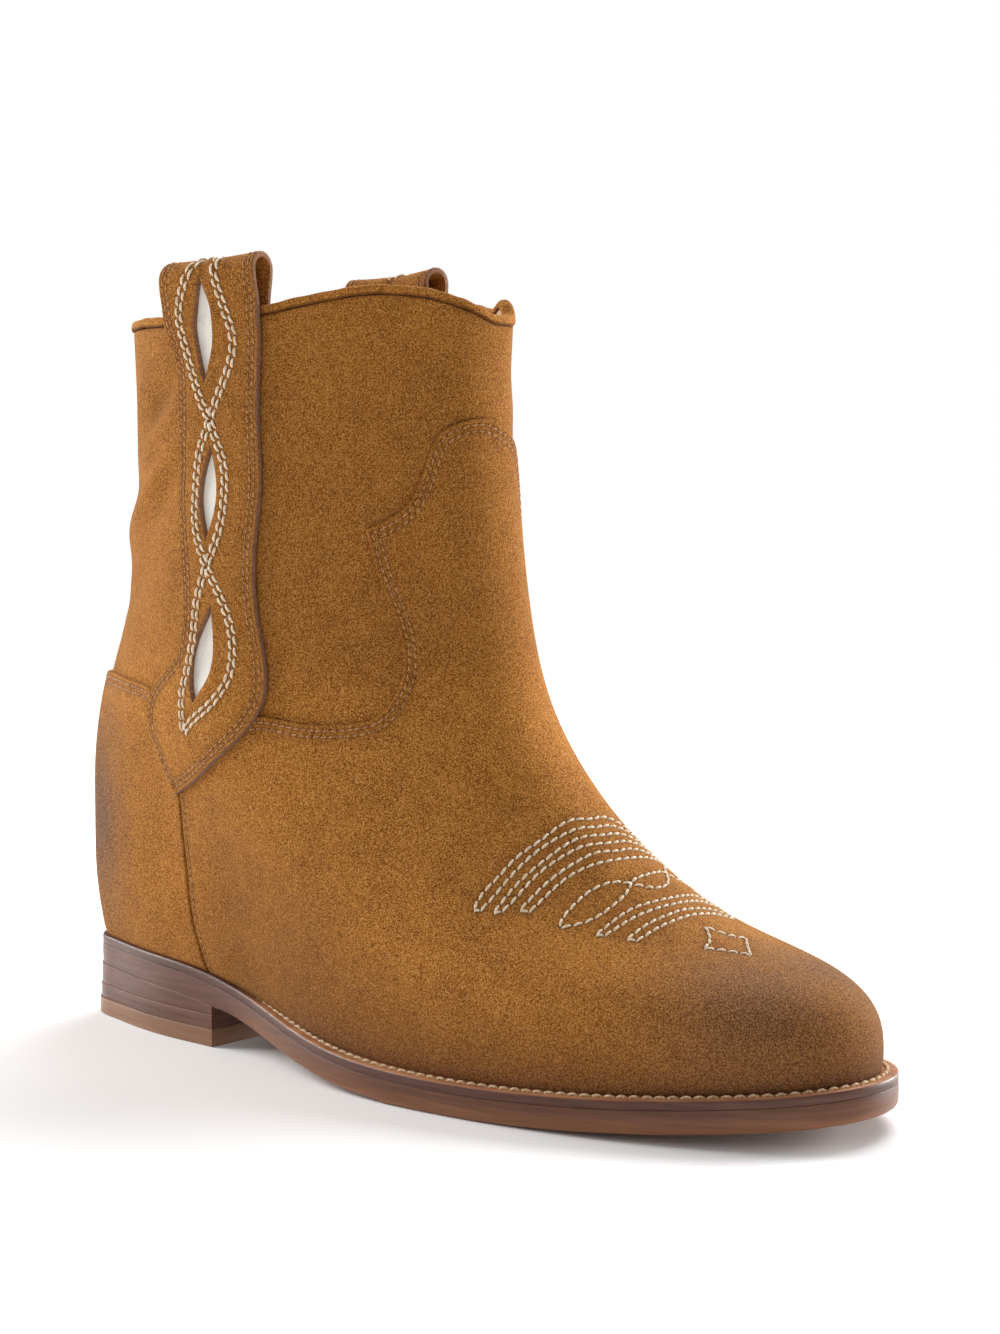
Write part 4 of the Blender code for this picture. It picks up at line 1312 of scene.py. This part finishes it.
def rounded(low, high, low_round, high_round, bulge=0.0):
    """Levels of a layer with rounded lower and upper edges between two heights."""
    levels = []
    for k in range(5):
        angle = pi / 2 * k / 4
        levels.append((low_round * (1 - sin(angle)), lambda x, d=low_round * (1 - cos(angle)): low(x) + d))
    for share in (0.3, 0.5, 0.7):
        inset = -bulge * sin(pi * share)
        levels.append((inset, lambda x, q=share: (low(x) + low_round) * (1 - q)
                       + (high(x) - high_round) * q))
    for k in range(5):
        angle = pi / 2 * k / 4
        levels.append((high_round * (1 - cos(angle)), lambda x, d=high_round * (1 - sin(angle)): high(x) - d))
    return levels


def flat(height):
    return lambda x: np.zeros_like(x) + height


def raised(height):
    return lambda x: sole_top(x) + height


def raised_tread(height):
    return lambda x: tread(x) + height


def outsole_round(x):
    """The radius of the outsole's lower edge: next to nothing where the heel lies under it."""
    return 0.12 + 1.28 * ease((x - 69) / 8)


def outsole_levels():
    heel_x, toe_x = LAST_LEVELS[0][0], LAST_LEVELS[0][2]
    levels = []
    for k in range(5):
        angle = pi / 2 * k / 4
        levels.append((lambda s, d=1 - sin(angle): d * outsole_round(heel_x + (toe_x - heel_x) * s),
                       lambda x, d=1 - cos(angle): tread(x) + d * outsole_round(x)))
    return levels + rounded(tread, raised(-WELT_THICKNESS - LAYER_GAP), 1.4, 0.12, 0.1)[5:]


def heel_margin(extra):
    """The heel's margin, which grows backwards by extra."""
    return lambda s: margin_at(s) + extra * (1 - s / BREAST_S)


def sock_base(x):
    return sole_top(x) + SOCK_BASE + WEDGE_HEIGHT * np.maximum(1 - x / WEDGE_END, 0) ** 1.3


def sock_top(x):
    return sock_base(x) + SOCK_THICKNESS


# Shares of the second colour at a layer's levels, lowest first.
STAINED = (1.0, 0.95, 0.9, 0.8, 0.7, 0.55, 0.3, 0.15, 0.05, 0, 0, 0, 0)
# The lifts' rounded edges get the lighter second colour: painted highlights where the edges catch the light.
PAINTED_EDGE_HIGHLIGHTS = (0.9, 0.9, 0.9, 0.6, 0, 0, 0, 0, 0, 0.6, 0.9, 0.9, 0.9)
PLAIN = (0.0,) * 13


def build_bottom():
    outsole = slab("outsole_leather", outsole_levels(), margin_at, SOLE, STAINED, front_low=True)
    on_boot(outsole, "sole_leather", "outsole")
    build_welt()
    lifts = (
        ("heel_lift_upper", flat(SECOND_LIFT + LAYER_GAP), raised_tread(-LAYER_GAP), 0.3),
        ("heel_lift_lower", flat(TOP_PIECE + LAYER_GAP), flat(SECOND_LIFT), 0.6),
    )
    for node, low, high, extra in lifts:
        levels = rounded(low, high, 0.14, 0.14)
        lift = slab(f"{node}_leather", levels, heel_margin(extra), SOLE, PAINTED_EDGE_HIGHLIGHTS, BREAST_S)
        on_boot(lift, "sole_leather", node)
    levels = rounded(flat(0.0), flat(TOP_PIECE), 0.5, 0.16)
    piece = slab("heel_top_piece_leather", levels, heel_margin(1.0), TOP_PIECE_LEATHER, STAINED, BREAST_S)
    on_boot(piece, "top_piece_leather", "heel_top_piece")
    levels = rounded(sock_base, sock_top, 0.2, 0.45)
    sock = slab("sock_liner_leather", levels, lambda s: np.full_like(s, -5.0), SOCK, PLAIN)
    on_boot(sock, "lining_leather", "sock_liner")


def build_welt():
    """The welt: a strip round the feather edge, with a groove for its stitches."""
    top, low = raised(0.0), raised(-WELT_THICKNESS)
    section = [
        (7.0, low), (0.12, low), (0.0, raised(-WELT_THICKNESS + 0.12)), (-0.05, raised(-1.3)),
        (0.0, raised(-0.5)), (0.18, raised(-0.18)), (0.5, raised(-0.02)), (1.0, top), (1.7, top),
        (2.2, raised(-0.12)), (WELT_GROOVE, raised(-0.3)), (3.2, raised(-0.12)), (4.0, top), (7.0, top),
    ]
    count = 300
    rings = []
    for inset, height in section:
        lateral, medial = plan(lambda s: margin_at(s) - inset, 0, 1, count)
        ring = np.concatenate([lateral, medial[::-1]])
        rings.append(np.column_stack([ring, height(ring[:, 0])]))
    faces = ring_faces(len(section), 2 * count, closed=True)
    points = np.concatenate(rings)
    seat = 1 - ease((points[:, 0] - 78) / 22)
    side_band = np.repeat([1.0] * 5 + [0.5] + [0.0] * (len(section) - 6), 2 * count)
    made = add_mesh("welt_leather", points, faces, (WELT,), None, {"low": np.maximum(seat, side_band)})
    tidy_mesh(made)
    on_boot(made, "welt_leather", "welt")

    lateral, medial = plan(lambda s: margin_at(s) - WELT_GROOVE, 0.24, 1, count)
    line = np.concatenate([lateral, medial[-2::-1]]) / PLAN_SCALE
    ledge = level_surface(sole_top)
    row = needle_row(ledge, line, 0, 3.3)
    made = stitches("welt_stitches", ledge, [row], -0.05, 0.5, WELT_THREAD, 0.2)
    on_boot(made, "welt_leather")


# ---------------------------------------------------------------------------------------------- studio

FLOOR_RADIUS = 2.4


def build_floor():
    """A pale disc that fades into the white surroundings at its edge."""
    rings, sides = 24, 64
    points = [(0, 0, 0)]
    for k in range(1, rings + 1):
        radius = FLOOR_RADIUS * k / rings
        turns = [2 * pi * m / sides for m in range(sides)]
        points += [(radius * cos(turn), radius * sin(turn), 0) for turn in turns]
    faces = [(0, 1 + m, 1 + (m + 1) % sides) for m in range(sides)]
    for k in range(rings - 1):
        low, high = 1 + k * sides, 1 + (k + 1) * sides
        faces += [(low + m, high + m, high + (m + 1) % sides, low + (m + 1) % sides) for m in range(sides)]
    mesh = bpy.data.meshes.new("floor")
    mesh.from_pydata(points, [], faces)
    n = Nodes("white_floor")
    radius = n.add("ShaderNodeVectorMath", operation="LENGTH")
    n.put(n.place, radius.inputs[0])
    fade = n.span(radius.outputs["Value"], 0.7 * FLOOR_RADIUS, 0.3 * FLOOR_RADIUS)
    n.put(fade, n.shader.inputs["Alpha"])
    n.finish((0.98, 0.98, 0.98), 0.7)
    mesh.materials.append(n.material)
    floor = bpy.data.objects.new("floor", mesh)
    bpy.context.scene.collection.objects.link(floor)


def area_light(name, place, target, size, power, colour=(1, 1, 1)):
    light = bpy.data.lights.new(name, "AREA")
    light.shape = "RECTANGLE"
    light.size, light.size_y = size
    light.energy = power
    light.color = colour
    made = bpy.data.objects.new(name, light)
    made.location = place
    made.rotation_euler = (Vector(target) - Vector(place)).to_track_quat("-Z", "Y").to_euler()
    bpy.context.scene.collection.objects.link(made)


AMBIENT = 0.36                 # light from all round; the camera sees the surroundings as white


def build_lights():
    centre = (0, 0, 0.1)
    area_light("key", (-1.5, -0.45, 0.75), centre, (1.1, 1.1), 34)
    area_light("top", (-0.1, 1.0, 1.6), centre, (1.3, 1.0), 32)
    area_light("rim", (0.6, 1.45, 0.26), centre, (0.8, 0.44), 30)
    area_light("fill", (0.7, -1.5, 0.9), centre, (1.2, 1.2), 4)


def build_surroundings():
    world = bpy.data.worlds.new("studio")
    world.use_nodes = True
    background = world.node_tree.nodes["Background"]
    background.inputs["Color"].default_value = (1, 1, 1, 1)
    light_path = world.node_tree.nodes.new("ShaderNodeLightPath")
    strength = world.node_tree.nodes.new("ShaderNodeMapRange")
    strength.inputs["To Min"].default_value = AMBIENT
    strength.inputs["To Max"].default_value = 1.0
    world.node_tree.links.new(light_path.outputs["Is Camera Ray"], strength.inputs["Value"])
    world.node_tree.links.new(strength.outputs["Result"], background.inputs["Strength"])
    bpy.context.scene.world = world
    bpy.context.scene.view_settings.view_transform = "Standard"


def build_camera():
    """The photo's view: from the outer side and the front, a little above."""
    camera = bpy.data.cameras.new("camera")
    camera.sensor_fit = "VERTICAL"
    camera.sensor_height = 36
    camera.lens = 68.9
    made = bpy.data.objects.new("camera", camera)
    made.location = (0.45568, -0.52764, 0.1582)
    made.rotation_euler = Euler((radians(90 - 3.96), 0, radians(39.76)))
    bpy.context.scene.collection.objects.link(made)
    bpy.context.scene.camera = made


finish_cad_nodes()
build_vamp()
build_counter()
build_shaft()
build_linings()
build_binding()
for side_name, side in (("lateral", -1), ("medial", 1)):
    build_strap(side_name, side)
    build_inlay(side_name, side)
build_bottom()
build_floor()
build_lights()
build_surroundings()
build_camera()
